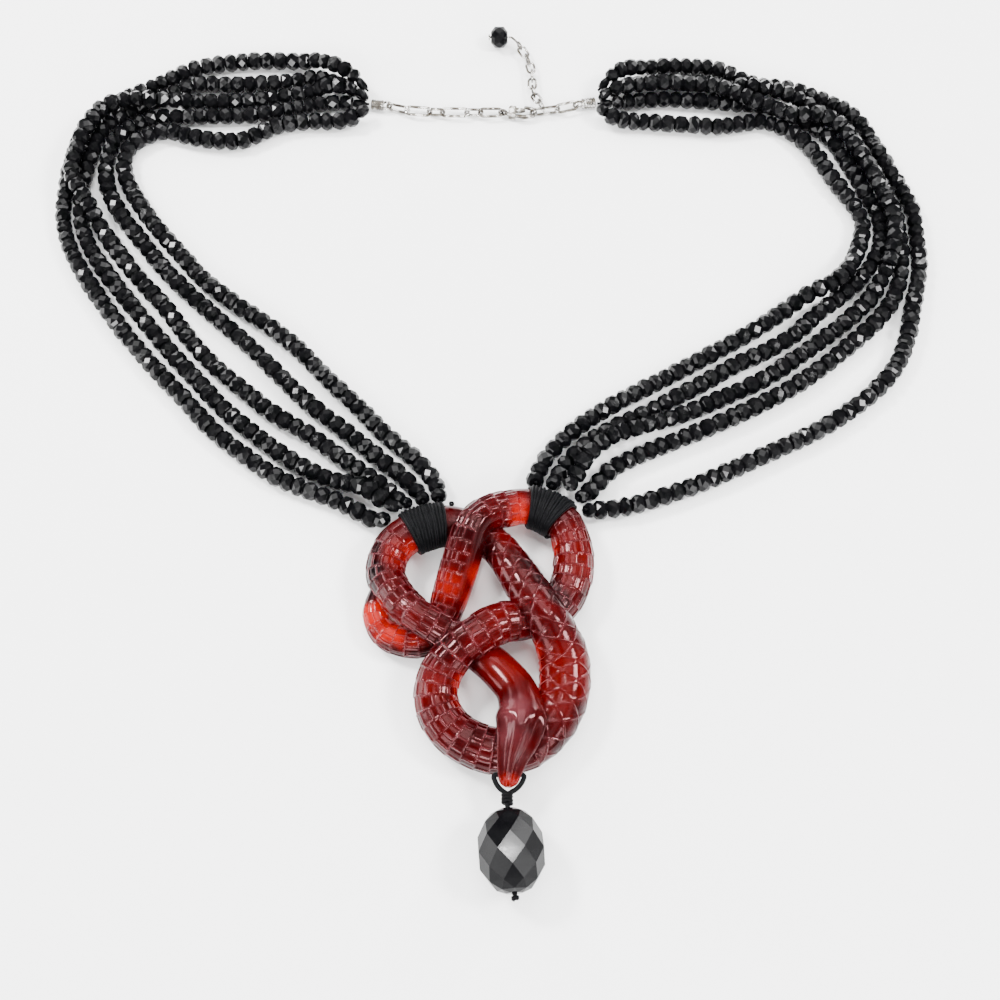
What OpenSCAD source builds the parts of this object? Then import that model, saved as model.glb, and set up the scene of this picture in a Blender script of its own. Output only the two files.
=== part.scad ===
// Snake pendant necklace lying on a table, in millimetres.
// X runs to the right, Y away from the viewer, Z up; the table is at z = 0.

/* [Snake] */
// distance between two rings of the body
snake_ring_step = 1.8; // [1.2:0.1:3]
// corners round the body
snake_sides = 14; // [10:2:20]
// depth of the groove between two scales
scale_depth = 0.4; // [0:0.05:0.8]
// radius of the hole across the snout
snout_hole_r = 0.8; // [0.6:0.1:1.2]

/* [Bead strands] */
// diameter of a string of beads
strand_d = 4.2; // [3:0.1:6]
// diameter of the bare thread at both ends of a string
thread_d = 1.0; // [0.6:0.1:1.6]
// corners round a string of beads
strand_sides = 8; // [6:1:12]

/* [Wound thread sleeves] */
// gap between the snake and the sleeve
sleeve_gap = 0.3; // [0.2:0.05:0.6]
// thickness of the wound thread
sleeve_wall = 0.85; // [0.5:0.05:1.5]
// height of one thread turn over the groove beside it
sleeve_rib = 0.3; // [0:0.05:0.5]
// stations along one sleeve, two for each turn of thread
sleeve_stations = 13; // [5:2:31]

/* [Chain and clasp] */
// wire radius of the main links
link_wire = 0.35; // [0.25:0.05:0.5]
// half width of a main link between wire centres
link_half = 1.2; // [1:0.05:1.5]
// wire radius of the extension links
ext_wire = 0.28; // [0.2:0.02:0.4]
// half width of an extension link between wire centres
ext_half = 1.0; // [0.8:0.05:1.3]
// free distance between two wires that hook together
link_play = 0.16; // [0.1:0.02:0.4]
// wire radius of the clasp's hook
clasp_wire = 0.55; // [0.4:0.05:0.6]
// radius of the hinge pin
pin_r = 0.35; // [0.25:0.05:0.5]
// free distance between hinge pin and bore
pin_play = 0.1; // [0.05:0.05:0.2]

/* [Drop] */
// radius of the black cord
cord_r = 0.55; // [0.4:0.05:0.8]
// radius of the hole along the drop bead
drop_hole_r = 0.8; // [0.6:0.05:1.2]

/* [Hidden] */

glass_red = [0.55, 0.05, 0.06];
bead_black = [0.06, 0.06, 0.07];
thread_black = [0.12, 0.12, 0.13];
cord_black = [0.05, 0.05, 0.05];
silver = [0.78, 0.78, 0.80];

// Snake from tail to snout: x, y, z, half width, half height, how deep the scales are
snake_rows = [
    [-24, -43, 3.8, 1.2, 1.2, 0],
    [-25, -50, 3.2, 2.7, 2.6, 0.5],
    [-22.5, -55, 3.3, 3.3, 3, 1],
    [-18, -57, 3.4, 3.5, 3.2, 1],
    [-13, -56.5, 3.4, 3.6, 3.2, 1],
    [-10, -52, 3.8, 3.8, 3.6, 1],
    [-8, -46.5, 4.8, 4.2, 4, 1],
    [-6, -40, 6.2, 4.4, 4.1, 1],
    [-3.4, -32.1, 8.6, 4.1, 4, 1],
    [-0.3, -28.5, 8, 4.1, 4, 1],
    [4.2, -26.6, 6.4, 4.3, 4.1, 1],
    [9.3, -25.6, 5.4, 4.1, 4.1, 0],
    [14, -27, 5, 4.2, 4.2, 0],
    [17.6, -29.8, 5, 4.3, 4.2, 0.3],
    [19.2, -34.5, 5, 4.5, 4.3, 1],
    [19.6, -39, 4.8, 4.7, 4.4, 1],
    [18.6, -44.5, 4.4, 4.6, 4.3, 1],
    [15.6, -49.2, 4.2, 4.5, 4.2, 1],
    [10.5, -52.2, 5.4, 4.4, 4.2, 1],
    [3, -54, 7.8, 4.7, 4.4, 1],
    [-1.8, -57, 8.6, 4.6, 4.4, 1],
    [-6, -60, 7.6, 4.5, 4.3, 1],
    [-10, -65, 6, 4.8, 4.5, 1],
    [-10.8, -71, 5, 4.9, 4.6, 1],
    [-8, -76.5, 4.8, 5, 4.6, 1],
    [-3, -80, 4.6, 5.1, 4.5, 1],
    [3, -81.5, 4.2, 5.2, 4.2, 1],
    [9, -80, 4.5, 5.4, 4.5, 1],
    [14, -75.5, 4.9, 5.6, 4.9, 1],
    [16.8, -69, 5.2, 5.8, 5.1, 1],
    [17, -62, 5.8, 5.8, 5.1, 1],
    [15.5, -57.5, 7.2, 5.4, 4.9, 1],
    [12.8, -52.3, 8.8, 4.9, 4.6, 1],
    [9.2, -46.5, 8.2, 4.9, 4.6, 1],
    [5.5, -40, 6.8, 4.4, 4.3, 1],
    [2.2, -35, 4.8, 4.2, 4, 1],
    [-2.5, -31.2, 4.1, 4.1, 3.9, 1],
    [-8, -29.5, 4.4, 4.2, 4, 0],
    [-13.5, -30.5, 5, 4.4, 4.2, 0],
    [-18.6, -32.8, 5, 4.5, 4.2, 0.3],
    [-21.8, -36.8, 5, 4.5, 4.2, 1],
    [-22.6, -42, 5.2, 4.5, 4.2, 1],
    [-20, -47.2, 6.8, 4.1, 3.9, 1],
    [-15.5, -52, 8.2, 3.8, 3.7, 1],
    [-10.6, -55, 7.2, 3.8, 3.6, 1],
    [-5.6, -57.4, 5.2, 3.9, 3.6, 0.5],
    [-1.8, -59.8, 4.2, 4, 3.6, 0],
    [2.3, -63.4, 4.8, 4.2, 3.6, 0],
    [6, -68, 6.6, 4.4, 3.4, 0],
    [7.4, -72, 8.2, 4.8, 3.2, 0],
    [7.6, -75.4, 8.9, 5.6, 3.3, 0],
    [6.9, -79.4, 8.5, 4.8, 3.1, 0],
    [5.8, -83, 7.5, 3.5, 2.7, 0],
    [5.1, -86.2, 6.8, 2.5, 2.1, 0],
    [4.8, -88.4, 6.2, 1.7, 1.5, 0],
    [4.7, -89.5, 5.9, 0.7, 0.7, 0]
];
// rows where the body is cut into three runs, none of which crosses itself
snake_cut_1 = 17;
snake_cut_2 = 29;
// rows between which each thread sleeve sits
sleeve_left_from = 37.3;
sleeve_left_to = 38.8;
sleeve_right_from = 11;
sleeve_right_to = 12.8;

// Strings of beads, first and last row on the bare thread, counted from the inside
left_1_route = [
    [-11.3, -23.8, 4.4], [-11.2, -21.2, 3.2], [-13.1, -16.8, 2.2], [-18, -11.4, 2.1],
    [-24.6, -5.6, 2.1], [-31, 1.4, 2.1], [-38, 8.2, 2.1], [-45.6, 16.4, 2.1],
    [-53.6, 23.2, 2.1], [-62, 29.2, 2.1], [-69.8, 35.6, 2.1], [-77, 43.8, 2.1],
    [-83.6, 51.6, 2.1], [-89, 59.4, 2.1], [-92.6, 66.4, 2.1], [-93.2, 71.5, 2.1],
    [-92.5, 75, 2.1], [-90.4, 77.3, 2.1], [-87.4, 79.1, 2.1], [-83, 80.2, 2.1],
    [-77.5, 78.6, 2.1], [-71, 77.3, 2.1], [-64, 77.2, 2.1], [-59.6, 79.2, 2.1],
    [-55.5, 81.6, 2.1], [-50.5, 82.8, 2.1], [-45, 83.3, 2.1], [-40.5, 83.2, 2.2],
    [-36.2, 83.7, 2.9], [-33.2, 85, 3.8], [-31.4, 87.4, 3.6]
];
left_2_route = [
    [-14.6, -24.2, 4.5], [-15.6, -21.4, 2.1], [-20, -16.6, 2.1], [-26.3, -11.4, 2.1],
    [-34, -4.8, 2.1], [-42.4, 2, 2.1], [-50, 9.6, 2.1], [-57.4, 17.2, 2.1],
    [-65.3, 24.4, 2.1], [-73, 31.6, 2.1], [-80, 38.8, 2.1], [-86.6, 47, 2.1],
    [-92.6, 55, 2.1], [-96.4, 62, 2.1], [-97.8, 69, 2.1], [-97.4, 73.4, 2.1],
    [-96.8, 76.6, 2.1], [-94.8, 79.6, 2.1], [-91, 82.6, 2.1], [-85.5, 84.7, 2.1],
    [-79, 84.8, 2.1], [-72, 85, 2.1], [-66, 85.1, 2.1], [-60, 85.4, 2.1],
    [-55, 86.8, 2.1], [-50, 87.7, 2.1], [-45, 88.7, 2.1], [-40.5, 89.3, 2.1],
    [-37, 89.3, 2.1], [-31.2, 89, 1.7]
];
left_3_route = [
    [-17.4, -25, 5], [-21.1, -22, 2.1], [-26.7, -17.2, 2.1], [-34.2, -12, 2.1],
    [-42.5, -5.8, 2.1], [-51.1, -0.4, 2.1], [-59, 6.2, 2.1], [-66.6, 12.9, 2.1],
    [-73, 20.2, 2.1], [-79, 28.2, 2.1], [-86, 36, 2.1], [-92, 43.6, 2.1],
    [-96.4, 50, 2.1], [-98.6, 53.6, 4.8], [-100.8, 57.2, 6.3], [-103.3, 61.2, 6.6],
    [-105.4, 66, 6.1], [-104.5, 73, 6.1], [-103, 79, 6.1], [-99.8, 84.3, 6.2],
    [-95.4, 86.6, 6.6], [-90.4, 87.3, 6.4], [-87.6, 87.4, 6.3], [-85, 87.7, 5.6],
    [-80, 89.1, 3.4], [-75, 89.5, 2.1], [-66, 89.7, 2.1], [-60, 90.2, 2.1],
    [-55, 91.3, 2.1], [-50, 92.1, 2.1], [-45.4, 93, 2.4], [-43, 92.8, 4.4],
    [-40.5, 92.4, 5.3], [-37, 91.7, 6], [-31.2, 89.7, 4]
];
left_4_route = [
    [-19.4, -25.8, 4.9], [-22.7, -24.8, 5.4], [-27.1, -21.3, 5.2], [-32, -18.9, 3.2],
    [-37.3, -17.2, 2.1], [-46, -12.6, 2.1], [-54.6, -6.2, 2.1], [-62.6, 0.6, 2.1], [-70, 8.6, 2.1],
    [-77, 16.2, 2.1], [-83.4, 24, 2.1], [-89.6, 31.6, 2.1], [-95.4, 39.2, 2.1],
    [-99.9, 46.4, 2.1], [-102.4, 53, 2.1], [-103, 59.4, 2.1], [-103, 66, 2.1],
    [-102.1, 72.6, 2.1], [-101, 78.2, 2.1], [-98.4, 82.6, 2.1], [-94, 86, 2.1],
    [-88.4, 89.3, 2.1], [-82.4, 92.6, 2.1], [-76, 95.1, 2.1], [-69, 94.9, 2.1],
    [-62, 95.1, 2.1], [-55, 95.8, 2.1], [-50, 96.6, 2.1], [-45, 97.5, 2.1],
    [-40.5, 95.9, 2.1], [-37, 94.1, 2.1], [-31.2, 90.6, 1.7]
];
left_5_route = [
    [-22.3, -28.1, 5.2], [-25.6, -28, 2.6], [-29.4, -25.8, 2.1], [-35, -22.9, 2.1],
    [-42, -20.2, 2.1], [-49, -17, 2.1], [-57, -11.4, 2.1], [-65.2, -4.6, 2.1], [-73, 4, 2.1],
    [-80.2, 11.6, 2.1], [-87.4, 20, 2.1], [-93.8, 28.4, 2.1], [-99.6, 36.8, 2.1],
    [-104.4, 45.4, 2.1], [-106.8, 52.6, 2.1], [-107.4, 59.4, 2.1], [-107.4, 66.6, 2.1],
    [-106.5, 73.4, 2.1], [-105.2, 79.8, 2.1], [-101.8, 85.6, 2.1], [-96.5, 89.8, 2.1],
    [-90.5, 93.2, 2.1], [-84, 96.8, 2.1], [-77, 100.2, 2.1], [-70, 101.7, 2.1],
    [-62, 102.6, 2.1], [-54.5, 102.6, 2.1], [-49, 102.3, 2.6], [-45, 101.4, 4.2],
    [-41.5, 99.6, 5.5], [-38.6, 97.8, 5.9], [-36, 96, 5.9], [-31.4, 91.9, 3.6]
];
right_1_route = [
    [11.3, -19.3, 4.4], [11.4, -16.8, 2.1], [14.6, -11, 2.1], [20.4, -5, 2.1],
    [28.6, 0.9, 2.1], [37.6, 6, 2.1], [46.6, 11, 2.1], [55.6, 16.2, 2.1],
    [64.6, 21.6, 2.1], [70.4, 25.6, 2.1], [75.2, 28.9, 3.4], [79.4, 31.1, 5.1],
    [83.6, 32.7, 6], [87, 35.5, 6], [89.7, 39.3, 5], [91.8, 43.8, 2.9],
    [93.5, 48.4, 2.1], [94.1, 52.6, 2.1], [92.6, 57.2, 2.1],
    [90.2, 61.4, 2.1], [87, 67, 2.1], [84.4, 72.4, 2.1], [80.8, 77.6, 2.1],
    [76.7, 81, 2.1], [71.4, 83.2, 2.1], [65.3, 82.4, 2.1], [59, 81.6, 2.1],
    [52.6, 82.2, 2.1], [46, 82.6, 2.1], [41, 83.1, 2.1], [36.6, 83.3, 2.4],
    [32.8, 83.8, 3.2], [30.2, 85, 3.9], [28.6, 87.6, 3.6]
];
right_2_route = [
    [14.8, -20.4, 4.8], [16.4, -17, 2.1], [18.6, -13.4, 2.1], [23.6, -8.4, 2.1],
    [30, -4.2, 2.1], [36.6, -0.8, 2.1], [44, 3.2, 2.1], [52, 7.6, 2.1], [60, 12.4, 2.1],
    [68, 16.4, 2.1], [75, 21, 2.1], [80.6, 26.4, 2.1], [86.4, 31, 2.1],
    [91.4, 35.6, 2.1], [95.4, 40.6, 2.1], [98, 45.8, 2.1], [98.6, 51.8, 2.1],
    [97.8, 56.6, 2.1], [96, 60.6, 2.1], [93.2, 67.6, 2.1], [90.9, 72.7, 2.1],
    [89, 76.8, 2.1], [86.7, 79.5, 2.1], [83, 82.6, 2.1], [78.5, 85.6, 2.1],
    [73.5, 88, 2.1], [68, 88.8, 2.1], [63, 89, 2.1], [57.5, 89.6, 2.1],
    [52, 90, 2.1], [46, 90.4, 2.1], [41, 90, 2.1], [37.8, 89.7, 2.1],
    [34.2, 89.4, 2.1], [28.4, 89.2, 1.7]
];
right_3_route = [
    [18.4, -21.4, 5], [20.6, -17.4, 4.7], [23.6, -12.6, 5.6], [28.4, -8.4, 5.8],
    [32.5, -6.5, 5.4], [37, -4.8, 4.7], [43.6, -2, 2.9], [50.2, 0.8, 2.1],
    [58.4, 4.6, 2.1], [66.4, 8.6, 2.1],
    [74, 13.8, 2.1], [81, 19, 2.1], [87.8, 24.6, 2.1], [93.6, 30.4, 2.1],
    [97.2, 36.1, 3.4], [99.1, 40.4, 5.5], [100.3, 44.4, 5.9], [101, 48.6, 6], [100.7, 54, 6],
    [99.4, 59, 6], [97.4, 64.4, 6], [95, 70.4, 6], [93, 74.2, 6],
    [91.2, 78, 6], [88.7, 81, 6], [83.9, 82.5, 6.6], [78.5, 82.6, 6.2],
    [73.5, 85.2, 5.7], [68, 87.2, 6.4], [63, 89.8, 6.5], [57.5, 92.3, 5.8],
    [52, 92.8, 5.6], [46, 93.3, 5.5], [41, 92.8, 5.6], [37.8, 92.3, 5.7],
    [34.2, 91.8, 5.8], [28.4, 90, 4]
];
right_4_route = [
    [20.6, -23.6, 5], [24.3, -20.2, 2.4], [28.8, -15.2, 2.1], [32.8, -12.8, 2.1],
    [38.4, -10.2, 2.1], [47, -6.6, 2.1], [56, -2.6, 2.1], [64.6, 1.6, 2.1], [72.8, 6.2, 2.1],
    [80.4, 11.6, 2.1], [87.6, 17.6, 2.1], [94, 23.4, 2.1], [98.6, 29, 2.1],
    [101.6, 35.6, 2.1], [103, 43, 2.1], [103, 51, 2.1], [102.6, 56.2, 2.1],
    [100.5, 62, 2.1], [97.4, 69.6, 2.1], [95.1, 74.8, 2.1], [93.2, 79.3, 2.1],
    [90.6, 82.7, 2.1], [86.3, 86, 2.5], [80, 88.9, 4.6], [73.5, 91.2, 5.5],
    [68, 92.4, 5.1], [65.5, 93.1, 4.3], [62.5, 93.8, 2.5], [57, 95.3, 2.1],
    [51, 95.8, 2.1], [46, 96.2, 2.1], [41, 95.6, 2.1], [37.8, 95, 2.1],
    [34.2, 94.1, 2.1], [28.4, 90.7, 1.7]
];
right_5_route = [
    [22.4, -26, 4.8], [25.2, -25.4, 2.1], [32.3, -24.4, 2.1], [41, -21.8, 2.1],
    [50, -18.4, 2.1], [59.2, -14.2, 2.1], [68.4, -9.8, 2.1], [77.4, -5.4, 2.1],
    [85.6, -0.2, 2.1], [93, 5.8, 2.1], [98.6, 12.5, 2.1], [102, 20.4, 2.1],
    [104, 28, 2.1], [106.2, 35.6, 2.1], [107.4, 43, 2.1], [107.4, 51, 2.1],
    [107.1, 56.5, 2.1], [105, 62.6, 2.1], [102.9, 67.8, 2.1], [101.3, 72, 2.1],
    [99.2, 76.6, 2.1], [97.2, 81.5, 2.1], [94, 85.9, 2.1], [89, 89.5, 2.1],
    [83, 92.2, 2.1], [77, 94, 2.1], [71.5, 94.8, 2.1], [66, 97.1, 2.1],
    [60, 100, 2.1], [53, 100.8, 2.1], [46, 101, 2.1], [41, 100, 3],
    [37.8, 98.9, 4.6], [33.2, 96.1, 5.9], [28.6, 92.1, 3.6]
];

// Points where neighbouring links of the chain touch
chain_z = 1.6;
touch = [
    [-26, 88.6, chain_z], [-21.2, 87.4, chain_z], [-15.4, 86.9, chain_z],
    [-12, 86.8, chain_z], [-5.6, 86.7, chain_z], [-2, 86.7, chain_z],
    [3.23, 86.7, chain_z]
];
hook_touch = [11.48, 86.7, chain_z];
right_touch = [[18, 87.8, chain_z], [22.8, 89.05, chain_z]];
ext_touch = [
    [14.4, 86.76, 2.87], [13.2, 89.5, 2.4], [12, 92, 1.9], [11.5, 94.6, 1.6],
    [11.5, 97.2, 1.6], [11.4, 99.8, 1.6], [10.8, 102.4, 1.6], [9.9, 104.9, 1.6],
    [8.5, 107.35, 1.9]
];

// Clasp wire, seen from above: x, y and radius as a part of clasp_wire, from the body at
// its left end along the near side and round to the beak on the far side
clasp_spine = [
    [4.4, 86.55, 0.8], [5.1, 86.25, 1], [6.2, 85.75, 1.07], [7.2, 85.45, 1.11],
    [8.2, 85.3, 1.12], [9.2, 85.25, 1.11], [10.1, 85.3, 1.09], [10.9, 85.42, 1.06],
    [11.6, 85.72, 1.02], [12.1, 86.2, 1], [12.22, 86.75, 0.98], [12, 87.28, 0.96],
    [11.5, 87.66, 0.93], [10.9, 87.9, 0.89], [10.2, 88.08, 0.84], [9.6, 88.2, 0.76],
    [9.3, 88.25, 0.45]
];
clasp_sides = 10;
clasp_eye = [3.7, 86.7, chain_z];
pivot = [6.1, 87.35];
lever_z0 = 1.1;
lever_h = 1;

// Drop: bead axis from its upper to its lower end, rings given as place along it and radius
drop_mid = [5.3, -102.8, 7.3];
drop_lean = 4.6;
drop_rings = [
    [-8.7, 2], [-6.2, 5.3], [-3.3, 6.9], [0, 7.3], [3.3, 7], [6.1, 5.4], [8.5, 2.2]
];
end_bead_mid = [2.8, 110.1, 2.9];
end_bead_rings = [[-2.2, 1.5], [-1.5, 2.6], [0, 2.9], [1.5, 2.6], [2.2, 1.5]];

function unit(v) = v / norm(v);
function point3(row) = [row[0], row[1], row[2]];

// smooth curve through the rows a, b, c, d between b and c
function smooth(a, b, c, d, t) =
    0.5 * (2 * b + (c - a) * t + (2 * a - 5 * b + 4 * c - d) * t * t
        + (3 * b - a - 3 * c + d) * t * t * t);
snake_last = len(snake_rows) - 1;
function snake_at(u) =
    let (i = min(floor(u), snake_last - 1))
    smooth(snake_rows[max(i - 1, 0)], snake_rows[i], snake_rows[i + 1],
        snake_rows[min(i + 2, snake_last)], u - i);
function snake_dir(u) =
    unit(point3(snake_at(min(u + 0.03, snake_last))) - point3(snake_at(max(u - 0.03, 0))));
function span_rings(i) =
    max(1, round(norm(point3(snake_rows[i + 1]) - point3(snake_rows[i])) / snake_ring_step));
snake_us = concat(
    [for (i = [0:snake_last - 1]) for (k = [0:span_rings(i) - 1]) i + k / span_rings(i)],
    [snake_last]);
function ring_of(row) = row == 0 ? 0 : ring_of(row - 1) + span_rings(row - 1);

// one ring round the body at place u, grown outwards, with every second corner sunk
function snake_ring(u, n, index, grow, depth) =
    let (row = snake_at(u), t = snake_dir(u), s = unit(cross(t, [0, 0, 1])), w = cross(s, t))
    [for (j = [0:n - 1])
        let (a = 360 * j / n,
            sink = (index + j) % 2 == 0 || sin(a) < -0.35 ? 0 : depth * row[5],
            p = point3(row) + (row[3] + grow - sink) * cos(a) * s
                + (row[4] + grow - sink) * sin(a) * w)
        [p[0], p[1], max(p[2], 0)]];

function two_triangles(a, b, c, d, first) =
    first ? [[a, b, d], [b, c, d]] : [[a, b, c], [a, c, d]];
function wall_faces(rings, n, start) =
    [for (i = [0:rings - 2]) for (j = [0:n - 1])
        for (f = two_triangles(i * n + j, i * n + (j + 1) % n, (i + 1) * n + (j + 1) % n,
            (i + 1) * n + j, (start + i + j) % 2 == 0)) f];
function cap_faces(rings, n) =
    concat([for (j = [1:n - 2]) [0, j + 1, j]],
        [for (j = [1:n - 2]) [(rings - 1) * n, (rings - 1) * n + j, (rings - 1) * n + j + 1]]);

module tube_of_rings(rings, n, start = 0) {
    polyhedron(
        points = [for (r = rings) each r],
        faces = concat(wall_faces(len(rings), n, start), cap_faces(len(rings), n)),
        convexity = 8);
}

module snake_run(first, last) {
    rings = [for (k = [first:last])
        snake_ring(snake_us[k], snake_sides, k, 0, scale_depth)];
    tube_of_rings(rings, snake_sides, first);
}

// round bar between p and q
module ridge(p, q, rp, rq) {
    hull() {
        translate(p) sphere(r = rp, $fn = 8);
        translate(q) sphere(r = rq, $fn = 8);
    }
}

// brows, cheeks, jaw lines, nostrils and the ridge along the snout
module head_relief() {
    ridge([4.4, -74.6, 11.2], [4.2, -81.2, 10], 0.9, 0.6);
    ridge([10.4, -74.6, 11.2], [8.2, -81.2, 10], 0.9, 0.6);
    ridge([7.4, -73.6, 11.8], [6.4, -80, 11.1], 0.8, 0.5);
    ridge([6.4, -80, 11.1], [5, -87, 8.2], 0.5, 0.5);
    ridge([2.6, -75.8, 8.6], [3, -82.4, 7.6], 1, 0.6);
    ridge([12.6, -75.4, 8.6], [8.8, -82.2, 7.6], 1.1, 0.6);
    ridge([12.9, -74.4, 8.4], [13.6, -77, 7.6], 0.7, 0.4);
    ridge([2.4, -74.6, 8.4], [1.6, -77, 7.6], 0.7, 0.4);
    ridge([4, -86.8, 7.6], [4.3, -88.2, 6.9], 0.6, 0.5);
    ridge([5.7, -86.8, 7.6], [5.3, -88.2, 6.9], 0.6, 0.5);
}

module snake() {
    color(glass_red)
    difference() {
        union() {
            snake_run(0, ring_of(snake_cut_1));
            snake_run(ring_of(snake_cut_1), ring_of(snake_cut_2));
            snake_run(ring_of(snake_cut_2), len(snake_us) - 1);
            head_relief();
        }
        translate([4.9, -87, 6.4])
            rotate([0, 90, 0])
            cylinder(r = snout_hole_r, h = 12, center = true, $fn = 12);
    }
}

// ring round a string of beads: thin at both ends, full in between
function strand_ring(route, i) =
    let (last = len(route) - 1,
        t = unit(route[min(i + 1, last)] - route[max(i - 1, 0)]),
        s = unit(cross(t, [0, 0, 1])), w = cross(s, t),
        r = i == 0 || i == last ? thread_d / 2 : strand_d / 2)
    [for (j = [0:strand_sides - 1])
        let (a = 360 * j / strand_sides + 90)
        route[i] + r * cos(a) * s + r * sin(a) * w];

module strand(route) {
    color(bead_black)
    tube_of_rings([for (i = [0:len(route) - 1]) strand_ring(route, i)], strand_sides);
}

module strand_left_1() { strand(left_1_route); }
module strand_left_2() { strand(left_2_route); }
module strand_left_3() { strand(left_3_route); }
module strand_left_4() { strand(left_4_route); }
module strand_left_5() { strand(left_5_route); }
module strand_right_1() { strand(right_1_route); }
module strand_right_2() { strand(right_2_route); }
module strand_right_3() { strand(right_3_route); }
module strand_right_4() { strand(right_4_route); }
module strand_right_5() { strand(right_5_route); }

// sleeve of wound thread round the body between the places u0 and u1
module sleeve(u0, u1) {
    n = snake_sides;
    m = sleeve_stations;
    us = [for (k = [0:m - 1]) u0 + (u1 - u0) * k / (m - 1)];
    outer = [for (k = [0:m - 1])
        snake_ring(us[k], n, 0, sleeve_gap + sleeve_wall - (k % 2 == 0 ? sleeve_rib : 0), 0)];
    inner = [for (k = [0:m - 1]) snake_ring(us[k], n, 0, sleeve_gap, 0)];
    shift = m * n;
    wall = wall_faces(m, n, 0);
    color(thread_black)
    polyhedron(
        points = concat([for (r = outer) each r], [for (r = inner) each r]),
        faces = concat(
            wall,
            [for (f = wall) [f[0] + shift, f[2] + shift, f[1] + shift]],
            [for (j = [0:n - 1]) for (f = [
                [j, shift + j, shift + (j + 1) % n],
                [j, shift + (j + 1) % n, (j + 1) % n]]) f],
            [for (j = [0:n - 1]) for (f = [
                [(m - 1) * n + j, shift + (m - 1) * n + (j + 1) % n, shift + (m - 1) * n + j],
                [(m - 1) * n + j, (m - 1) * n + (j + 1) % n,
                    shift + (m - 1) * n + (j + 1) % n]]) f]),
        convexity = 4);
}

module wrap_left() { sleeve(sleeve_left_from, sleeve_left_to); }
module wrap_right() { sleeve(sleeve_right_from, sleeve_right_to); }

// knot that ends the winding on top of the left sleeve's inner end
module thread_knot() {
    color(thread_black)
    translate([-8, -25.9, 7.9])
        sphere(r = 0.7, $fn = 10);
}

// link lying flat along X with its end wires len_mid apart
module flat_link(len_mid, half, wire) {
    straight = round(500 * len_mid - 1000 * half) / 1000;
    for (side = [0, 180])
        rotate([0, 0, side])
        translate([straight, 0, 0])
        rotate([0, 0, -90])
        rotate_extrude(angle = 180, $fn = 32)
        translate([half, 0])
        circle(r = wire, $fn = 24);
    for (y = [-half, half])
        translate([-straight, y, 0])
        rotate([0, 90, 0])
        cylinder(r = wire, h = 2 * straight, $fn = 24);
}

// link whose ends hook round the touch points p and q
module link(p, q, half, wire, standing) {
    d = q - p;
    reach = 2 * wire + link_play;
    translate((p + q) / 2)
        rotate([0, -asin(d[2] / norm(d)), atan2(d[1], d[0])])
        rotate([standing ? 90 : 0, 0, 0])
        flat_link(norm(d) + reach, half, wire);
}

module main_link(i, standing) {
    color(silver)
    link(touch[i - 1], touch[i], link_half, link_wire, standing);
}

module link_1() { main_link(1, true); }
module link_2() { main_link(2, false); }
module link_3() { main_link(3, true); }
module link_4() { main_link(4, false); }
module link_5() { main_link(5, true); }
module link_6() { main_link(6, false); }

module ext_link(i) {
    color(silver)
    link(ext_touch[i - 1], ext_touch[i], ext_half, ext_wire, i % 2 == 1);
}

module ext_link_1() { ext_link(1); }
module ext_link_2() { ext_link(2); }
module ext_link_3() { ext_link(3); }
module ext_link_4() { ext_link(4); }
module ext_link_5() { ext_link(5); }
module ext_link_6() { ext_link(6); }
module ext_link_7() { ext_link(7); }
module ext_link_8() { ext_link(8); }

// wound wire end cap along X with an eye at its right end
module coil(length, standing) {
    turns = 5;
    pitch = length / turns;
    rotate([0, 90, 0])
        rotate_extrude($fn = 36)
        union() {
            square([1.15, length]);
            for (k = [0:turns - 1])
                translate([1.05, pitch * (k + 0.5)])
                circle(r = pitch / 2 - 0.02, $fn = 24);
        }
    translate([length + 0.9, 0, 0])
        rotate([standing ? 90 : 0, 0, 0])
        rotate_extrude($fn = 32)
        translate([1.15, 0])
        circle(r = 0.3, $fn = 24);
}

module coil_left() {
    color(silver)
    translate([-30.6, 89.3, chain_z])
        rotate([0, 0, -6])
        coil(3.1, false);
}

module coil_right() {
    color(silver)
    translate([27.9, 89.9, chain_z])
        rotate([0, 0, 188])
        coil(3.6, true);
}

// ring round the clasp wire at its point i
function clasp_ring(i) =
    let (last = len(clasp_spine) - 1, row = clasp_spine[i],
        a = clasp_spine[max(i - 1, 0)], b = clasp_spine[min(i + 1, last)],
        side = unit([b[1] - a[1], a[0] - b[0]]), r = clasp_wire * row[2])
    [for (j = [0:clasp_sides - 1])
        let (turn = 360 * j / clasp_sides + 18)
        [row[0] + r * cos(turn) * side[0], row[1] + r * cos(turn) * side[1],
            chain_z + r * sin(turn)]];

module clasp_body() {
    color(silver)
    union() {
        tube_of_rings([for (i = [0:len(clasp_spine) - 1]) clasp_ring(i)], clasp_sides);
        // body block and clevis with the pin that carries the lever
        translate([0, 0, 0.55])
            linear_extrude(height = 2.1)
            polygon([[5.2, 85.6], [6, 85.2], [7, 85], [7.1, 86], [5.3, 86.3]]);
        for (z = [0.55, 2.2])
            translate([0, 0, z])
            linear_extrude(height = 0.45)
            union() {
                translate(pivot) circle(r = 0.8, $fn = 24);
                polygon([[5.25, 85.9], [7, 85.7], [6.85, 87.5], [5.35, 87.5]]);
            }
        translate([pivot[0], pivot[1], 0.6])
            cylinder(r = pin_r, h = 2, $fn = 24);
        // standing eye for the last link
        translate(clasp_eye)
            rotate([90, 0, 0])
            rotate_extrude($fn = 24)
            translate([0.9, 0])
            circle(r = 0.35, $fn = 10);
    }
}

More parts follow.
